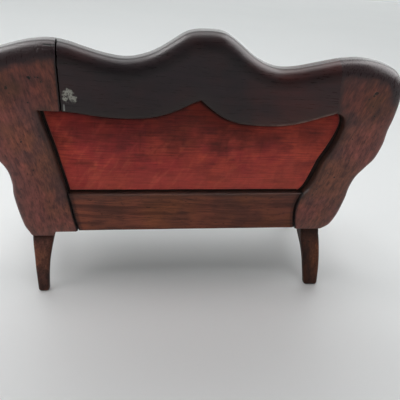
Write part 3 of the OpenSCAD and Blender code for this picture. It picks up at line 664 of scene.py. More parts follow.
def cloth(name, base, deep, bright, u=(1, 0, 0), v=(0, 0, 1), thread=0.42, fade=None, slub=1.0):
    """Plain-woven cloth: u runs along the weft, v along the warp."""
    m = Mat(name)
    P = m.mapping(m.coords(), scale=(1000, 1000, 1000))
    wob = m.vmath("SCALE", m.vmath("SUBTRACT", m.noise_col(P, 0.11, 2.0), (0.5, 0.5, 0.5)), scale=0.9)
    Q = m.vmath("ADD", P, wob)
    U, V = m.vmath("DOT_PRODUCT", Q, u), m.vmath("DOT_PRODUCT", Q, v)
    k = 2 * math.pi / thread
    su, sv = m.math("SINE", m.math("MULTIPLY", U, k * 0.5)), m.math("SINE", m.math("MULTIPLY", V, k * 0.5))
    over = m.ramp(m.math("MULTIPLY", su, sv), -0.5, 0.5)
    weft = m.math("ABSOLUTE", sv)
    warp = m.math("ABSOLUTE", su)
    weave = m.math("ADD", m.math("MULTIPLY", weft, over), m.math("MULTIPLY", warp, m.math("SUBTRACT", 1.0, over)))
    flat = m.node("ShaderNodeCombineXYZ")
    m.put(flat.inputs[0], m.math("MULTIPLY", U, 0.06)); m.put(flat.inputs[1], m.math("MULTIPLY", V, 1.15))
    slubs = m.noise(flat.outputs[0], 1.0, 4.0, 0.7)
    flat2 = m.node("ShaderNodeCombineXYZ")
    m.put(flat2.inputs[0], m.math("MULTIPLY", U, 0.55)); m.put(flat2.inputs[1], m.math("MULTIPLY", V, 0.05))
    warps = m.noise(flat2.outputs[0], 1.0, 3.0, 0.65)
    wide = m.noise(m.mapping(P, loc=(7, 3, 1)), 0.045, 3.0, 0.6)
    c = m.mix(m.ramp(wide, 0.38, 0.62), base, bright)
    c = m.mix(m.ramp(m.noise(m.mapping(P, loc=(19, 2, 6), scale=(0.08, 0.14, 0.14)), 1.0, 3.0, 0.6), 0.46, 0.72, 0.0, 0.42), c, deep)
    c = m.mix(m.ramp(slubs, 0.40, 0.72, 0.0, 0.62 * slub), c, deep)
    c = m.mix(m.ramp(slubs, 0.42, 0.24, 0.0, 0.55 * slub), c, m.mix(1.0, c, (1.38, 1.5, 1.5), "MULTIPLY"))
    c = m.mix(m.ramp(warps, 0.52, 0.80, 0.0, 0.40), c, deep)
    # Painted shade in the hollows between the threads.
    c = m.mix(m.ramp(weave, 0.15, 0.75, 0.55, 0.0), c, m.mix(1.0, c, (0.42, 0.36, 0.36), "MULTIPLY"))
    m.P, m.colour = P, c
    if fade:
        fade(m)
    h = m.math("ADD", weave, m.math("MULTIPLY", slubs, 0.9))
    m.set(Base_Color=m.colour, Roughness=m.ramp(weave, 0.0, 1.0, 0.95, 0.78, smooth=False), Normal=m.bump(h, 0.6, 0.00022))
    m.b.inputs["Sheen Weight"].default_value = 0.22
    m.b.inputs["Sheen Roughness"].default_value = 0.45
    m.b.inputs["Sheen Tint"].default_value = (0.9, 0.45, 0.42, 1.0)
    m.b.inputs["Specular IOR Level"].default_value = 0.25
    return m


def panel_fade(m):
    """Darker towards the top under the crest, brighter towards the bottom, rubbed wisps, and painted shadow along the
    top edge where the crest overhangs.
    """
    v = m.vmath("DOT_PRODUCT", m.vmath("SUBTRACT", m.P, (0.0, Y0, LEG_H)), (0.0, SL, CL))
    X = m.split(m.P)
    ragged = m.ramp(m.noise(m.mapping(m.P, loc=(1, 2, 3)), 0.08, 3.0), 0.2, 0.8, -9.0, 9.0, smooth=False)
    m.colour = m.mix(m.ramp(m.math("ADD", v, ragged), 42.0, 62.0, 0.0, 0.95), m.colour, m.mix(1.0, m.colour, (0.40, 0.34, 0.33), "MULTIPLY"))
    cloud = m.noise(m.mapping(m.P, loc=(12, 33, 4), scale=(0.075, 0.1, 0.13)), 1.0, 4.0, 0.62)
    m.colour = m.mix(m.ramp(cloud, 0.50, 0.68, 0.0, 0.9), m.colour, m.mix(1.0, m.colour, (0.60, 0.56, 0.56), "MULTIPLY"))
    m.colour = m.mix(m.ramp(cloud, 0.48, 0.32, 0.0, 0.9), m.colour, m.mix(1.0, m.colour, (1.30, 1.40, 1.30), "MULTIPLY"))
    sooty = m.math("MULTIPLY", m.ramp(m.math("ABSOLUTE", m.math("ADD", X[0], m.math("MULTIPLY", ragged, 1.5))), 48.0, 8.0), m.ramp(m.math("ADD", v, ragged), 44.0, 60.0))
    m.colour = m.mix(m.math("MULTIPLY", sooty, 0.8), m.colour, m.mix(1.0, m.colour, (0.62, 0.62, 0.58), "MULTIPLY"))
    ends = m.math("MULTIPLY", m.ramp(m.math("ABSOLUTE", X[0]), 34.0, 58.0), m.ramp(v, 36.0, 60.0))
    m.colour = m.mix(m.math("MULTIPLY", ends, 0.7), m.colour, m.mix(1.0, m.colour, (1.35, 1.4, 1.3), "MULTIPLY"))
    low = m.ramp(m.math("ADD", v, ragged), 46.0, 28.0, 0.0, 1.0)
    m.colour = m.mix(m.math("MULTIPLY", low, 0.35), m.colour, (0.50, 0.075, 0.050))
    # slanting rubbed wisps, plainest towards the sitter's left
    along = m.vmath("DOT_PRODUCT", m.P, (-0.5, 0.85 * SL, 0.85 * CL))
    across = m.vmath("DOT_PRODUCT", m.P, (0.85, 0.5 * SL, 0.5 * CL))
    lay = m.node("ShaderNodeCombineXYZ")
    m.put(lay.inputs[0], m.math("MULTIPLY", along, 0.07)); m.put(lay.inputs[1], m.math("MULTIPLY", across, 0.26))
    wisps = m.math("MULTIPLY", m.ramp(m.noise(lay.outputs[0], 1.0, 3.0, 0.6), 0.50, 0.68), m.ramp(X[0], -50.0, 45.0, 0.35, 1.0))
    m.colour = m.mix(m.math("MULTIPLY", wisps, 0.75), m.colour, m.mix(1.0, m.colour, (1.30, 1.75, 1.45), "MULTIPLY"))
    # Painted shadow along the top edge, where the crest overhangs the recessed cloth.
    crest_shadow = m.ramp(m.attr("lip"), 0.42, 0.86, 0.0, 0.9)
    m.colour = m.mix(crest_shadow, m.colour, m.mix(1.0, m.colour, (0.10, 0.10, 0.10), "MULTIPLY"))


C_BASE, C_DEEP, C_LIGHT = (0.43, 0.036, 0.033), (0.14, 0.014, 0.012), (0.53, 0.063, 0.035)
m_panel = cloth("red_cloth_outside", C_BASE, C_DEEP, C_LIGHT, v=(0, SL, CL), fade=panel_fade, slub=1.15)
m_back = cloth("red_cloth_inside", C_BASE, C_DEEP, C_LIGHT, v=(0, SL, CL), slub=0.9)
m_seat = cloth("red_cloth_seat", C_BASE, C_DEEP, C_LIGHT, v=(0, 1, 0), slub=0.9)
m_gimp = cloth("braid", (0.22, 0.030, 0.026), (0.10, 0.014, 0.013), (0.27, 0.040, 0.03), u=(0.7, 0.1, 0.7), v=(-0.7, 0.1, 0.7), thread=0.3, slub=0.5)


def plain(name, a, b, scale, rough, metallic=0.0, bump=0.0001):
    m = Mat(name)
    P = m.mapping(m.coords(), scale=(1000, 1000, 1000))
    f = m.noise(P, scale, 4.0, 0.65)
    m.set(Base_Color=m.mix(m.ramp(f, 0.3, 0.7), a, b), Roughness=m.ramp(f, 0.2, 0.8, rough - 0.1, rough + 0.1, smooth=False), Normal=m.bump(f, 0.5, bump))
    m.b.inputs["Metallic"].default_value = metallic
    return m


m_wad = plain("cotton_wadding", (0.62, 0.56, 0.46), (0.74, 0.69, 0.58), 0.9, 0.9, bump=0.0006)
m_pin = plain("pin_steel", (0.30, 0.29, 0.27), (0.45, 0.44, 0.42), 3.0, 0.45, metallic=1.0)


def finish_piece(o, mat, slot, *nodes):
    o.data.materials.clear()
    o.data.materials.append(mat.m)
    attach(o, "root")
    if nodes:
        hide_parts(*nodes)
    return o


# ---------------------------------------------------------------------------
# back frame
def uneven(seed, amount, scale=16.0):
    return lambda p: amount * smooth_noise(p, scale, seed)


def outer_radius(p):
    """Rounding of the back's outer edge: full over the crest and ears, tighter down the stiles."""
    return np.interp(p[:, 1], [0, 20, 45, 70, 82, 90], [2.0, 2.2, 2.4, 2.8, 3.8, 4.8]) * (1 + 0.06 * smooth_noise(p, 14.0, 5))


def outer_spread(p):
    return np.interp(p[:, 1], [0, 30, 60, 80, 90], [1.2, 1.2, 1.3, 1.7, 2.0])


def lip_radius(p):
    return np.interp(p[:, 1], [0, 22, 30, 60, 72], [1.3, 1.8, 2.6, 2.4, 1.3])


REBATE = (3.0, 4.0)
GAP = 0.26
top_l, down_l = clip_x(EDGE_L, SEAM_L)
top_r, down_r = clip_x(EDGE_R, SEAM_R_TOP)
crest_top = ease(np.vstack([flip(top_r[::-1]), top_l[1:]]), 1.6)
seam_l_top = top_l[-1] + [GAP - 0.03, 0]
crest_top[-1] = seam_l_top
low_l = np.vstack([LOW_L[:-1], [[SEAM_L + GAP - 0.03, 67.5]]])
crest = board("crest_rail_shaped", [
    Side(crest_top, outer_radius, 1.3, kind="rim", spread=outer_spread),
    Side([seam_l_top, low_l[-1]], 0.1, 0.1, kind="seam", groove=(2 * GAP, 7.6)),
    Side(low_l[::-1], 1.15, 0.5, REBATE, "lip"),
    Side(flip(LOW_R), 1.15, 0.5, REBATE, "lip"),
    Side([flip(LOW_R)[-1], crest_top[0]], 0.12, 0.1, kind="plain"),
], FRAME_T, in_back, lift_back=uneven(1, 0.10), lift_front=uneven(2, 0.08))
finish_piece(crest, m_crest, "dark_mahogany", "crest_rail")

edge = np.vstack([down_l[:1] + [GAP, 0], down_l[1:]])
left = board("left_back_stile_shaped", [
    Side(edge, outer_radius, 1.4, kind="rim", spread=outer_spread),
    Side([(80.4, -3), (69, -3)], 0.9, 0.8, kind="rim"),
    Side([(69, -3), (68, -0.7)], 0.5, 0.5),
    Side([(68, -0.7), IN_L[0]], 1.2, 0.8, kind="rim"),
    Side(IN_L[:OPEN_L + 1], lip_radius, 0.3, kind="seam"),
    Side(IN_L[OPEN_L:], lip_radius, 0.5, REBATE, "lip"),
    Side([IN_L[-1], (SEAM_L + GAP, 67.5)], 0.9, 0.5, REBATE, "lip"),
    Side([(SEAM_L + GAP, 67.5), edge[0]], 0.22, 0.2, kind="seam"),
], FRAME_T, in_back, lift_back=uneven(3, 0.14), lift_front=uneven(4, 0.08))
finish_piece(left, m_left, "mahogany", "left_back_stile")

right = board("right_back_stile_shaped", [
    Side(flip(down_r), outer_radius, 1.4, kind="rim", spread=outer_spread),
    Side(flip([down_r[-1], IN_R[0]]), 1.3, 0.8, kind="rim"),
    Side(flip(IN_R[:OPEN_R + 1]), lip_radius, 0.3, kind="seam"),
    Side(flip(IN_R[OPEN_R:]), lip_radius, 0.5, REBATE, "lip"),
    Side(flip([IN_R[-1], down_r[0]]), 0.12, 0.1, kind="join"),
], FRAME_T, in_back, lift_back=uneven(6, 0.14), lift_front=uneven(7, 0.08))
finish_piece(right, m_right, "mahogany", "right_back_stile")

rail = board("back_seat_rail_shaped", [
    Side(np.vstack([[[56.6, -1.5]], IN_L[:OPEN_L + 1] - [0.3, 0]]), 0.15, 0.2, kind="seam"),
    Side([IN_L[OPEN_L] - [0.3, 0], flip(IN_R)[OPEN_R] + [0.15, 0]], 0.8, 0.4, REBATE, "lip"),
    Side(np.vstack([flip(IN_R[OPEN_R::-1]) + [0.15, 0], [[-61.4, -0.5]]]), 0.15, 0.2, kind="seam"),
    Side([(-61.4, -0.5), (56.6, -1.5)], 1.0, 0.8, kind="rim"),
], FRAME_T - RAIL_SET, in_back, w0=RAIL_SET, lift_back=uneven(8, 0.12), lift_front=uneven(9, 0.06))
finish_piece(rail, m_rail, "rail_wood", "back_seat_rail")


# ---------------------------------------------------------------------------
# seat frame
def bow(x):
    return SEAT_D - 5 + 5 * np.cos(np.radians(90 * np.asarray(x, float) / 76))


def side_out(d):
    return 80 + 5.6 * (np.asarray(d, float) - 9) / (SEAT_D - 23)


def face_d(z):
    """Distance forward of the back boards' front face at height z."""
    v = (z - LEG_H - FRAME_T * SL) / CL
    return FRAME_T * CL - v * SL


half = 75.5
under = cr([(half, RAIL_Z + 3), (66, RAIL_Z + 0.6), (52, RAIL_Z + 1.4), (36, RAIL_Z + 5.4), (18, RAIL_Z + 3.2), (0, RAIL_Z + 0.4),
            (-18, RAIL_Z + 3.2), (-36, RAIL_Z + 5.4), (-52, RAIL_Z + 1.4), (-66, RAIL_Z + 0.6), (-half, RAIL_Z + 3)])
front_rail = board("front_seat_rail_shaped", [
    Side([(-half, RAIL_TOP), (half, RAIL_TOP)], 0.9, 0.3, kind="rim"),
    Side([(half, RAIL_TOP), (half, RAIL_Z + 3)], 0.15, 0.15, kind="seam"),
    Side(under, 1.1, 0.7, kind="rim"),
    Side([(-half, RAIL_Z + 3), (-half, RAIL_TOP)], 0.15, 0.15, kind="seam"),
], 7.5, lambda x, z, w: in_seat(x, bow(x) - w, z), lift_back=uneven(11, 0.08), grid=1.6)
finish_piece(front_rail, m_front, "mahogany", "front_seat_rail")

for s, nm in ((1, "left"), (-1, "right")):
    o = board(nm + "_side_rail_shaped", [
        Side([(face_d(RAIL_TOP), RAIL_TOP), (SEAT_D - 14, RAIL_TOP)], 0.8, 0.3, kind="rim"),
        Side([(SEAT_D - 14, RAIL_TOP), (SEAT_D - 14, RAIL_Z)], 0.12, 0.12, kind="seam"),
        Side([(SEAT_D - 14, RAIL_Z), (face_d(RAIL_Z), RAIL_Z)], 0.9, 0.6, kind="rim"),
        Side([(face_d(RAIL_Z), RAIL_Z), (face_d(RAIL_TOP), RAIL_TOP)], 0.12, 0.12, kind="seam"),
    ], 7.0, lambda d, z, w, s=s: in_seat(s * (side_out(d) - w), d, z), lift_back=uneven(12 + s, 0.08), grid=1.6)
    finish_piece(o, m_side, "rail_wood", nm + "_side_rail")


# ---------------------------------------------------------------------------
# legs
def back_leg(name, s, top, foot, outer, inner):
    front = [(13, 34), (11.6, 30.5), (9, 27), (6, 24), (3.4, 20.5), (1.4 + foot * 0.15, 15), (-1 + foot * 0.4, 8), (-3.4 + foot, 0)]
    back = [(-7.4 + foot, 0), (-5.2 + foot * 0.7, 8), (-3.2 + foot * 0.4, 15), (-1.4 + foot * 0.25, 21), (0.4 + foot * 0.2, 27), (2.3, 32), (2.6, 36)]
    rings, zs = [], np.r_[0.0, 0.35, 0.9, np.arange(2, 33.6, 0.9), 34.0]
    for z in zs:
        f, b = at(front, z), at(back, z)
        o, i = at(outer, z), at(inner, z)
        tuck = 0.55 if z == 0 else 0.18 if z < 0.5 else 0.0
        ring = rounded_ring(i + tuck, o - tuck, b + tuck, f - tuck, 1.35 if z < 30 else 1.0, 6, 4)
        h = np.full(len(ring), z)
        # the top is cut square to the back boards and butts under the stile
        under_stile = LEG_H + top / CL + (ring[:, 1]) * SL / CL
        cap = np.where(ring[:, 1] < face_d(32) + 0.1, under_stile - 0.03, RAIL_Z - 0.03)
        h = np.minimum(h, cap)
        rings.append(in_seat(s * ring[:, 0], ring[:, 1], h))
    return loft(name, rings)


o = back_leg("left_back_leg_shaped", 1, -3.0, 1.4,
             [(80, 38), (79.9, 28), (79.4, 19.5), (79.0, 11), (78.4, 3), (78.2, 0)],
             [(72.7, 0), (72.4, 9), (71.8, 16), (70.8, 22), (69.8, 27), (69.2, 31), (69, 38)])
finish_piece(o, m_leg_l, "dark_mahogany", "left_back_leg")
o = back_leg("right_back_leg_shaped", -1, 0.0, 0.0,
             [(76.9, 38), (77, 32), (78.4, 21), (79, 12), (79, 5), (78.8, 0)],
             [(70.8, 0), (69.8, 8), (69, 15), (67.8, 21), (66.6, 28), (66, 38)])
finish_piece(o, m_leg_r, "dark_mahogany", "right_back_leg")

KNEE = [(11, 0.97), (12.2, 0.84), (11.8, 0.68), (9.3, 0.46), (7.6, 0.27), (7.9, 0.13), (9.2, 0.05), (9.5, 0)]
CALF = [(0, 0.97), (2.4, 0.84), (4.3, 0.68), (4.7, 0.46), (4, 0.27), (3.5, 0.13), (3.2, 0.05), (3.3, 0)]
for s, nm in ((1, "left"), (-1, "right")):
    rings = []
    for f in np.r_[0, 0.012, 0.03, np.linspace(0.05, 0.97, 38)]:
        hi, lo = at(KNEE, f), at(CALF, f)
        tuck = 0.7 if f == 0 else 0.2 if f < 0.02 else 0.0
        share = np.interp(f, [0, 0.08, 0.27, 0.5, 0.75, 0.93, 0.97], [0.42, 0.44, 0.48, 0.40, 0.24, 0.09, 0.06])
        r = share * (hi - lo)
        ring = rounded_ring(75.5 + lo + tuck, 75.5 + hi - tuck, SEAT_D - 14 + lo + tuck, SEAT_D - 14 + hi - tuck, r, 7, 3)
        rings.append(in_seat(s * ring[:, 0], ring[:, 1], np.full(len(ring), f * RAIL_Z)))
    for z, tuck in ((RAIL_Z * 0.99, 0), (RAIL_Z + 4, 0), (RAIL_Z + 10, 0), (RAIL_Z + 16, 0), (RAIL_TOP - 0.6, 0), (RAIL_TOP - 0.15, 0.18), (RAIL_TOP, 0.55)):
        ring = rounded_ring(75.5 + tuck, 86.5 - tuck, SEAT_D - 14 + tuck, SEAT_D - 3 - tuck, 0.66, 7, 3)
        rings.append(in_seat(s * ring[:, 0], ring[:, 1], np.full(len(ring), z)))
    finish_piece(loft(nm + "_front_leg_shaped", rings), m_leg_f, "mahogany", nm + "_front_leg")


# ---------------------------------------------------------------------------
# arms
ARM_TOP = cr([(-4, 4.4), (6, 3), (16, 1.4), (28, 0.2), (38, 0.6), (46, 1.9), (51.5, 2.2)])
ARM_LOW = cr([(46.5, -6.4), (40, -6.6), (28, -6.8), (16, -5.6), (6, -3.6), (-4, -2)])
ARM_MID = cr([(-4, 85.6), (6, 86.3), (16, 87.2), (28, 88), (38, 87.8), (46, 86.8), (52, 85.4), (58, 83.6)])
ARM_HALF = cr([(-4, 3.8), (6, 3.5), (16, 3.3), (28, 3.2), (38, 3.3), (46, 3.8), (52, 4.3), (58, 4.2)])


def arm_mid(d):
    return np.interp(d, ARM_MID[:, 0], ARM_MID[:, 1])


def arm_half(d):
    return np.interp(d, ARM_HALF[:, 0], ARM_HALF[:, 1])


def arm_top(d):
    return ARM_Z + np.interp(d, ARM_TOP[:, 0], ARM_TOP[:, 1])


scroll = np.array([(51.5 + 5 * math.cos(math.radians(a)), -2.8 + 5 * math.sin(math.radians(a))) for a in range(80, -106, -5)])
arm_low = ARM_LOW[ARM_LOW[:, 0] > -1.6]
arm_up = ARM_TOP[ARM_TOP[:, 0] > -1.4]
for s, nm in ((1, "left"), (-1, "right")):
    line = np.vstack([arm_up, scroll, arm_low]) + [0, ARM_Z]
    line[0, 0], line[-1, 0] = face_d(line[0, 1]) + 0.02, face_d(line[-1, 1]) + 0.02
    o = board(nm + "_arm_shaped", [
        Side(line, 2.1, 2.1, kind="rim"),
        Side([line[-1], line[0]], 0.1, 0.1, kind="seam"),
    ], 7.0, lambda d, z, w, s=s: in_seat(s * (arm_mid(d) + (w / 7.0 - 0.5) * 2 * arm_half(d)), d, z), grid=1.2)
    finish_piece(o, m_arm, "mahogany", nm + "_arm")

    up = ARM_Z - RAIL_TOP
    rings = []
    for f in np.linspace(0, 1, 30):
        f1 = at([(48.7, 0), (49.1, 0.22), (47.4, 0.5), (45.6, 0.74), (47, 1)], f)
        f0 = at([(42.3, 0), (43.9, 0.22), (42.6, 0.5), (40.4, 0.74), (40, 1)], f)
        x1 = at([(83.8, 0), (84.1, 0.22), (86.2, 0.5), (88.5, 0.74), (89.7, 1)], f)
        x0 = at([(79.2, 0), (79.9, 0.22), (82, 0.5), (83.9, 0.74), (84.3, 1)], f)
        ring = rounded_ring(x0, x1, f0, f1, 1.3, 5, 3)
        h = RAIL_TOP + f * up + np.zeros(len(ring))
        h = np.minimum(h, ARM_Z + np.interp(ring[:, 1], ARM_LOW[::-1, 0], ARM_LOW[::-1, 1]) - 0.02 + 0.05)
        rings.append(in_seat(s * ring[:, 0], ring[:, 1], h))
    keep = [rings[0]]
    for r in rings[1:]:
        if np.abs(r - keep[-1]).max() > 2e-4:
            keep.append(r)
    finish_piece(loft(nm + "_arm_post_shaped", keep), m_leg_f, "mahogany", nm + "_arm_post")


# ---------------------------------------------------------------------------
# upholstery
def opening(e, right=None):
    """Outline of the back's opening, grown by e: left side, top scallops, right side, sill."""
    er = e if right is None else right
    L = IN_L[OPEN_L:] + [e, 0]
    L[0, 1] -= e
    L[-1, 1] += e
    R = flip(IN_R[OPEN_R:])
    k = np.arange(len(R))[::-1] / 9.0
    R = R + np.c_[-(er * np.interp(k, [0, 2, 6], [0, 0.45, 1]) if e < 0 else er * np.minimum(1, k / 2)), max(e, -0.6) * np.maximum(0, 1 - k / 2.7)]
    R[0] += [0, -e]
    up = max(e, -0.6)
    L[-1, 1] += up - e
    top_a, top_b = LOW_L[::-1] + [0, up], flip(LOW_R) + [0, up]
    return L, top_a, top_b, R


def opening_sides(e, back, front, step=0.9, right=None):
    L, ta, tb, R = opening(e, right)
    return [Side(L, back, front, step=step), Side([L[-1], ta[0]], back, front, step=step), Side(ta, back, front, step=step, kind="lip"),
            Side(tb, back, front, step=step, kind="lip"), Side(R[::-1], back, front, step=step), Side([R[0], L[0]], back, front, step=step)]


def tube(path, radius, n=8, closed=False):
    """Points and faces of a round cord along a path of points in mm."""
    P = np.asarray(path, float)
    T = np.gradient(P, axis=0)
    if closed:
        T = np.roll(P, -1, 0) - np.roll(P, 1, 0)
    T /= np.maximum(np.linalg.norm(T, axis=1), 1e-9)[:, None]
    ref = np.array([0.13, 0.29, 0.95])
    A = np.cross(T, ref); A /= np.linalg.norm(A, axis=1)[:, None]
    Bn = np.cross(T, A)
    ang = np.linspace(0, 2 * np.pi, n, endpoint=False)
    r = np.broadcast_to(np.asarray(radius, float), (len(P),))
    V = P[:, None] + r[:, None, None] * (np.cos(ang)[None, :, None] * A[:, None] + np.sin(ang)[None, :, None] * Bn[:, None])
    F, m = [], len(P)
    for i in range(m if closed else m - 1):
        a, b = i * n, ((i + 1) % m) * n
        for j in range(n):
            k = (j + 1) % n
            F.append((a + j, a + k, b + k, b + j))
    if not closed:
        F.append(tuple(range(n))[::-1]); F.append(tuple(range((m - 1) * n, m * n)))
    return V.reshape(-1, 3), F


def braid(name, path, across, out, width=2.2, pitch=2.6, thick=0.42):
    """Gimp: three cords plaited flat along a path. across and out are unit vectors at each path point."""
    verts, faces, base = [], [], 0
    s = np.r_[0, np.cumsum(np.linalg.norm(np.diff(path, axis=0), axis=1))]
    t = np.arange(0, s[-1], 0.22)
    at3 = lambda A: np.stack([np.interp(t, s, A[:, k]) for k in range(3)], 1)
    P, A, N = at3(path), at3(across), at3(out)
    for k in range(3):
        ph = 2 * np.pi * (t / pitch + k / 3)
        c = P + A * ((width / 2 - thick) * np.sin(ph))[:, None] + N * (thick * 0.62 + 0.30 * np.sin(2 * ph + 0.6))[:, None]
        v, f = tube(c, thick, 7)
        verts.append(v); faces += [tuple(i + base for i in q) for q in f]
        base += len(v)
    for side in (-1, 1):
        c = P + A * (side * (width / 2 + 0.12)) + N * 0.30
        v, f = tube(c, 0.30, 7)
        verts.append(v); faces += [tuple(i + base for i in q) for q in f]
        base += len(v)
    return mesh_object(name, np.vstack(verts) / 1000, faces, sharp=60)


# outside back: cloth strained over the board, its edges turned into the gap
def panel_form(p):
    d = np.min([dist_to(p, s.line)[0] for s in PANEL], 0)
    crown = 1.15 * (1 - np.exp(-d / 9.0))
    sag = 0.10 * smooth_noise(np.c_[p[:, 0] / 1.0, p[:, 1] / 3.0], 7.0, 21) + 0.12 * smooth_noise(p, 22.0, 22)
    pucker = 0.16 * np.sin(p[:, 0] / 1.35 + 2.0 * np.sin(p[:, 0] / 6.0)) * np.exp(-(p[:, 1] - 22) / 3.2) * np.clip((p[:, 0] + 10) / 40, 0.25, 1)
    fold = 0.35 * np.exp(-((p[:, 1] - 25.6 - 0.6 * np.sin(p[:, 0] / 7.0)) / 0.9) ** 2) * np.exp(-((p[:, 0] - 45) / 14) ** 2)
    return 1.9 - crown + sag + pucker - fold


PANEL = opening_sides(-1.4, 1.3, 0.2, right=-2.7)
panel = board("outside_back_cloth", PANEL, 3.2, in_back, w0=1.75, lift_back=panel_form, grid=1.1, rows=3, sharp=60)
finish_piece(panel, m_panel, "red_cloth", "outside_back_panel")

def baked(o):
    """The mesh of an object with its modifiers worked in."""
    me = bpy.data.meshes.new_from_object(o.evaluated_get(bpy.context.evaluated_depsgraph_get()))
    o.modifiers.clear()
    o.data = me
    return me


def points(me):
    co = np.empty(len(me.vertices) * 3, np.float32)
    me.vertices.foreach_get("co", co)
    return co.reshape(-1, 3).astype(float) * 1000


def stuffed(o, voxel, held, pressure, cap):
    """Fill a pad. The cover becomes an even net, its tacked points stay and the rest swells as cloth under pressure.
    held(P) gives how firmly each point is tacked, 0 to 1, and cap is the furthest a point may move, in mm."""
    even_net = o.modifiers.new("even", "REMESH")
    even_net.mode, even_net.voxel_size, even_net.use_smooth_shade = "VOXEL", voxel / 1000, True
    me = baked(o)
    start = points(me)
    tack = o.vertex_groups.new(name="tacked")
    for i, w in enumerate(np.clip(held(start), 0, 1)):
        if w > 0.01:
            tack.add([i], float(w), "REPLACE")
    cloth_mod = o.modifiers.new("cover", "CLOTH")
    st = cloth_mod.settings
    st.quality, st.vertex_group_mass = 6, "tacked"
    st.use_pressure, st.uniform_pressure_force = True, pressure
    st.effector_weights.gravity = 0.0
    cloth_mod.point_cache.frame_start, cloth_mod.point_cache.frame_end = 1, 20
    scene = bpy.context.scene
    for f in range(1, 21):
        scene.frame_set(f)
    ev = o.evaluated_get(bpy.context.evaluated_depsgraph_get())
    end = points(ev.data)
    o.modifiers.clear()
    o.vertex_groups.clear()
    move = end - start
    far = np.maximum(np.linalg.norm(move, axis=1), 1e-9)[:, None]
    out = (start + move * (cap * np.tanh(far / cap) / far)) / 1000
    me.vertices.foreach_set("co", out.astype(np.float32).ravel())
    me.update()
    scene.frame_set(1)
    fine = o.modifiers.new("fine", "SUBSURF")
    fine.levels = fine.render_levels = 1
    baked(o).shade_smooth()
    return o


def back_depth(P):
    """Distance in front of the back boards' back face."""
    return -(P[:, 1] - Y0) * CL + (P[:, 2] - LEG_H) * SL


# inside back: stuffed and crowned
INB = opening_sides(1.0, 0.1, 1.5)


def back_crown(depth, grow):
    def f(p):
        d = np.min([dist_to(p, s.line)[0] for s in INB], 0)
        return depth * (1 - np.clip(d / 17.0, 0, 1)) ** 1.8 + 0.10 * smooth_noise(p, 14.0, 31) + grow
    return f


cover = board("inside_back_cloth", INB, BACK_PAD, in_back, w0=FRAME_T + 0.02, lift_front=back_crown(1.3, 0.35), grid=1.3, rows=4, sharp=60)
stuffed(cover, 0.9, lambda P: (FRAME_T + 1.7 - back_depth(P)) / 0.7, 14.0, 1.8)
finish_piece(cover, m_back, "red_cloth", "inside_back_cover")
wad = board("inside_back_stuffing", opening_sides(-0.4, 0.2, 0.6), 2.3, in_back, w0=6.55, lift_front=uneven(33, 0.1), grid=2.0, rows=2)
finish_piece(wad, m_wad, "wadding", "inside_back_wadding")


# seat
def pad_side(e):
    return cr([(73.6 + e, 7.6), (75.2 + e, SEAT_D - 34), (76.4 + e, SEAT_D - 15), (76 + 0.9 * e, SEAT_D - 10.6 + 0.4 * e),
               (74 + 0.6 * e, SEAT_D - 7.9 + 0.8 * e), (70, float(bow(70)) - 2.6 + e)], 8)


def pad_sides(e, back, front):
    a = pad_side(e)
    x = np.arange(70, -70.1, -2)
    b = np.c_[x, bow(x) - 2.6 + e]
    c = flip(a)[::-1]
    k = cr([(73.6 + e, 7.8), (70, 7.2), (66.8, 7.4), (64.4, 8.0), (62, 8.3)], 5)
    rear = np.vstack([flip(k), k[::-1]])
    return [Side(a, back, front), Side(b, back, front), Side(c, back, front), Side(rear, back, front)]


SEAT = pad_sides(0.0, 2.6, 0.1)


def seat_crown(p):
    d = np.min([dist_to(p, s.line)[0] for s in SEAT], 0)
    corner = np.exp(-((np.abs(p[:, 0]) - 74) / 9) ** 2) * np.exp(-((p[:, 1] - 60) / 8) ** 2)
    return 3.6 * (1 - np.clip(d / 26.0, 0, 1)) ** 1.8 + 0.5 * corner + 0.14 * smooth_noise(p, 18.0, 41) + 0.7


seat = board("seat_cloth", SEAT, SEAT_PAD - 0.02, lambda x, d, w: in_seat(x, d, RAIL_TOP + SEAT_PAD - w), lift_back=seat_crown, grid=1.5, rows=5, sharp=60)
stuffed(seat, 1.5, lambda P: (RAIL_TOP + 2.6 - P[:, 2]) / 1.2, 14.0, 2.6)
finish_piece(seat, m_seat, "red_cloth", "seat_cover", "seat_wadding")

# arm pads
for s, nm in ((1, "left"), (-1, "right")):
    dd = np.linspace(9.2, 36.8, 40)
    end = np.clip(np.minimum(dd - 9.2, 36.8 - dd) / 2.2, 0, 1)
    half_w = (arm_half(dd) - 0.35) * (0.55 + 0.45 * np.sqrt(1 - (1 - end) ** 2))
    A = np.c_[arm_mid(dd) + half_w, dd]
    Bq = np.c_[arm_mid(dd) - half_w, dd][::-1]
    AP = [Side(A, 1.7, 0.1, step=0.6), Side([A[-1], Bq[0]], 1.7, 0.1, step=0.6), Side(Bq, 1.7, 0.1, step=0.6), Side([Bq[-1], A[0]], 1.7, 0.1, step=0.6)]

    def arm_crown(p, AP=AP):
        d = np.min([dist_to(p, q.line)[0] for q in AP], 0)
        return 0.9 * np.exp(-d / 1.6) + 0.08 * smooth_noise(p, 5.0, 51)

    o = board(nm + "_arm_cloth", AP, ARM_PAD - 0.15, lambda x, d, w, s=s: in_seat(s * x, d, arm_top(d) + ARM_PAD - w), lift_back=arm_crown, grid=0.8, rows=4, sharp=60)
    stuffed(o, 0.55, lambda P: (arm_top(Y0 - P[:, 1]) + 1.3 - P[:, 2]) / 0.6, 12.0, 0.8)
    finish_piece(o, m_seat, "red_cloth", nm + "_arm_pad")

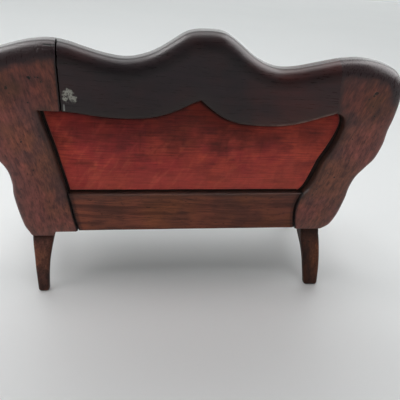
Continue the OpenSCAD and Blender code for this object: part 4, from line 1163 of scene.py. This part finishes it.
# gimp round the inside back and the seat
L, ta, tb, R = opening(2.4)
line = even(np.vstack([L, ta, tb[1:], R[::-1]]), 0.8)
z = LEG_H + line[:, 1] * CL + FRAME_T * SL
line = line[z > RAIL_TOP + 1.2]
tan = np.gradient(line, axis=0)
tan /= np.linalg.norm(tan, axis=1)[:, None]
flat = lambda x, v, w: in_back(x, v, w) * 1000
P3 = flat(line[:, 0], line[:, 1], np.full(len(line), FRAME_T + 0.05))
A3 = np.c_[-tan[:, 1], tan[:, 0]]
A3 = np.c_[A3[:, 0], A3[:, 1] * SL, A3[:, 1] * CL]
N3 = np.tile([0.0, -CL, SL], (len(line), 1))
gimp = braid("back_gimp_braid", P3, A3, N3)
finish_piece(gimp, m_gimp, "gimp_braid", "back_gimp")

line = even(np.vstack([pad_side(0.45), np.c_[np.arange(68, -68.1, -2), bow(np.arange(68, -68.1, -2)) - 2.15], flip(pad_side(0.45))[::-1]]), 0.8)
line = line[line[:, 1] > 11.5]
tan = np.gradient(line, axis=0)
tan /= np.linalg.norm(tan, axis=1)[:, None]
P3 = np.c_[line[:, 0], Y0 - line[:, 1], np.full(len(line), RAIL_TOP + 0.85)]
side = np.c_[-tan[:, 1], tan[:, 0]]
N3 = np.c_[-side[:, 0], side[:, 1], np.zeros(len(line))] * 1.0
A3 = np.tile([0.0, 0.0, 1.0], (len(line), 1))
gimp2 = braid("seat_gimp_braid", P3, A3, N3, width=1.5, pitch=2.2, thick=0.3)
finish_piece(gimp2, m_gimp, "gimp_braid", "seat_gimp")

# carried-over CAD pieces: hidden or plain inner parts
for node in ("corner_blocks", "crest_dowels", "back_rail_dowels", "side_rail_dowels", "front_rail_dowels", "leg_dowels", "arm_dowels", "back_board", "seat_board"):
    o = frame["nodes"][node]
    o.data.materials.clear()
    o.data.materials.append((m_stain if node in ("back_board", "seat_board", "crest_dowels") else m_inner).m)
    if node in ("corner_blocks", "seat_board"):
        bev = o.modifiers.new("arris", "BEVEL")
        bev.width, bev.segments, bev.limit_method, bev.angle_limit = 0.0003, 2, "ANGLE", math.radians(40)
o = frame["nodes"]["back_board_pins"]
o.data.materials.clear()
o.data.materials.append(m_pin.m)


# ---------------------------------------------------------------------------
# floor, light, camera
me = bpy.data.meshes.new("floor")
me.from_pydata([(-20, -20, 0), (20, -20, 0), (20, 20, 0), (-20, 20, 0)], [], [(0, 1, 2, 3)])
floor = bpy.data.objects.new("floor", me)
bpy.context.scene.collection.objects.link(floor)
fm = Mat("pale_floor")
fP = fm.mapping(fm.coords(), scale=(1, 1, 1))
fm.set(Base_Color=fm.mix(fm.noise(fP, 2.0, 3.0), (0.82, 0.83, 0.835), (0.86, 0.865, 0.865)), Roughness=0.55)
fm.b.inputs["Specular IOR Level"].default_value = 0.2
me.materials.append(fm.m)

# a pale cyclorama far behind everything, seen by the camera and lighting nothing
ring = [(10 * math.cos(a), 10 * math.sin(a)) for a in np.linspace(0, 2 * math.pi, 48, endpoint=False)]
me = bpy.data.meshes.new("cyclorama")
me.from_pydata([(x, y, -0.01) for x, y in ring] + [(x, y, 9.0) for x, y in ring], [], [(i, (i + 1) % 48, 48 + (i + 1) % 48, 48 + i) for i in range(48)])
cyc = bpy.data.objects.new("cyclorama", me)
bpy.context.scene.collection.objects.link(cyc)
cm = bpy.data.materials.new("pale_cyclorama")
cm.use_nodes = True
cm.node_tree.nodes.clear()
ce = cm.node_tree.nodes.new("ShaderNodeEmission")
ce.inputs["Color"].default_value = (0.66, 0.69, 0.69, 1.0)
cm.node_tree.links.new(ce.outputs[0], cm.node_tree.nodes.new("ShaderNodeOutputMaterial").inputs[0])
me.materials.append(cm)
cyc.visible_diffuse = cyc.visible_glossy = cyc.visible_transmission = cyc.visible_shadow = False

world = bpy.data.worlds.new("studio")
bpy.context.scene.world = world
world.use_nodes = True
wt = world.node_tree
wt.nodes.clear()
wo = wt.nodes.new("ShaderNodeOutputWorld")
bg = wt.nodes.new("ShaderNodeBackground")
wt.links.new(bg.outputs[0], wo.inputs[0])
tc = wt.nodes.new("ShaderNodeTexCoord")
dot = wt.nodes.new("ShaderNodeVectorMath"); dot.operation = "DOT_PRODUCT"
dot.inputs[1].default_value = (0.0, -1.0, 0.0)
wt.links.new(tc.outputs["Generated"], dot.inputs[0])
mr = wt.nodes.new("ShaderNodeMapRange"); mr.interpolation_type = "SMOOTHSTEP"
wt.links.new(dot.outputs["Value"], mr.inputs[0])
for i, v in ((1, 0.1), (2, 0.9), (3, 0.05), (4, 2.3)):
    mr.inputs[i].default_value = v
wt.links.new(mr.outputs[0], bg.inputs["Strength"])
bg.inputs["Color"].default_value = (0.97, 1.0, 1.0, 1.0)


def softbox(name, loc, wide, deep, power, target=(0, 0, 0.06), mirrored=True, soaked=True):
    lamp = bpy.data.lights.new(name, "AREA")
    lamp.shape, lamp.size, lamp.size_y, lamp.energy = "RECTANGLE", wide, deep, power
    o = bpy.data.objects.new(name, lamp)
    o.location = loc
    o.rotation_euler = (Vector(target) - Vector(loc)).to_track_quat("-Z", "Y").to_euler()
    o.visible_glossy, o.visible_diffuse = mirrored, soaked
    bpy.context.scene.collection.objects.link(o)
    return o


back_box = softbox("back_box", (0.0, -1.40, 1.20), 2.0, 1.0, 1.0)
left_box = softbox("left_box", (0.80, 0.10, 0.75), 0.45, 0.45, 1.6)
left_back_box = softbox("left_back_box", (0.90, -0.40, 0.70), 0.5, 0.5, 0.5)
right_box = softbox("right_box", (-0.75, 0.12, 0.72), 0.45, 0.45, 0.12)
top_box = softbox("top_box", (0.03, 0.10, 1.0), 1.0, 0.28, 3.65)
fill_box = softbox("fill_box", (0.15, 0.90, 0.35), 0.9, 0.5, 1.6, mirrored=False)
# the fill and the sheens are flagged off the floor, so they light the settee only
lit = bpy.data.collections.new("filled")
for o in bpy.context.scene.objects:
    if o.type == "MESH" and o not in (floor, cyc):
        lit.objects.link(o)
top_sheen = softbox("top_sheen", (0.0, 0.20, 0.97), 1.2, 0.9, 11.0, soaked=False)
right_sheen = softbox("right_sheen", (-0.78, 0.17, 0.69), 0.9, 0.9, 22.0, soaked=False)
left_sheen = softbox("left_sheen", (0.80, 0.10, 0.75), 0.5, 0.5, 40.0, soaked=False)
for o in (fill_box, top_sheen, right_sheen, left_sheen):
    o.light_linking.receiver_collection = lit

yaw, pitch, roll = (math.radians(a) for a in (10.75, 27.38, 5.16))
rt = Vector((math.cos(yaw), -math.sin(yaw), 0))
fw = Vector((math.sin(yaw) * math.cos(pitch), math.cos(yaw) * math.cos(pitch), -math.sin(pitch)))
dn = fw.cross(rt)
r2 = math.cos(roll) * rt - math.sin(roll) * dn
d2 = math.sin(roll) * rt + math.cos(roll) * dn
turn = lambda v: Vector((-v.x, -v.y, v.z))
cx, cy, cz = turn(r2), -turn(d2), -turn(fw)
cd = bpy.data.cameras.new("camera")
cam = bpy.data.objects.new("camera", cd)
cam.matrix_world = Matrix(((cx.x, cy.x, cz.x, 0.03151), (cx.y, cy.y, cz.y, (Y0 + 195.93) / 1000), (cx.z, cy.z, cz.z, 0.15547), (0, 0, 0, 1)))
cd.sensor_width, cd.lens, cd.clip_start, cd.clip_end = 36, 38.727, 0.01, 60
bpy.context.scene.collection.objects.link(cam)
bpy.context.scene.camera = cam
bpy.context.scene.view_settings.view_transform = "Standard"
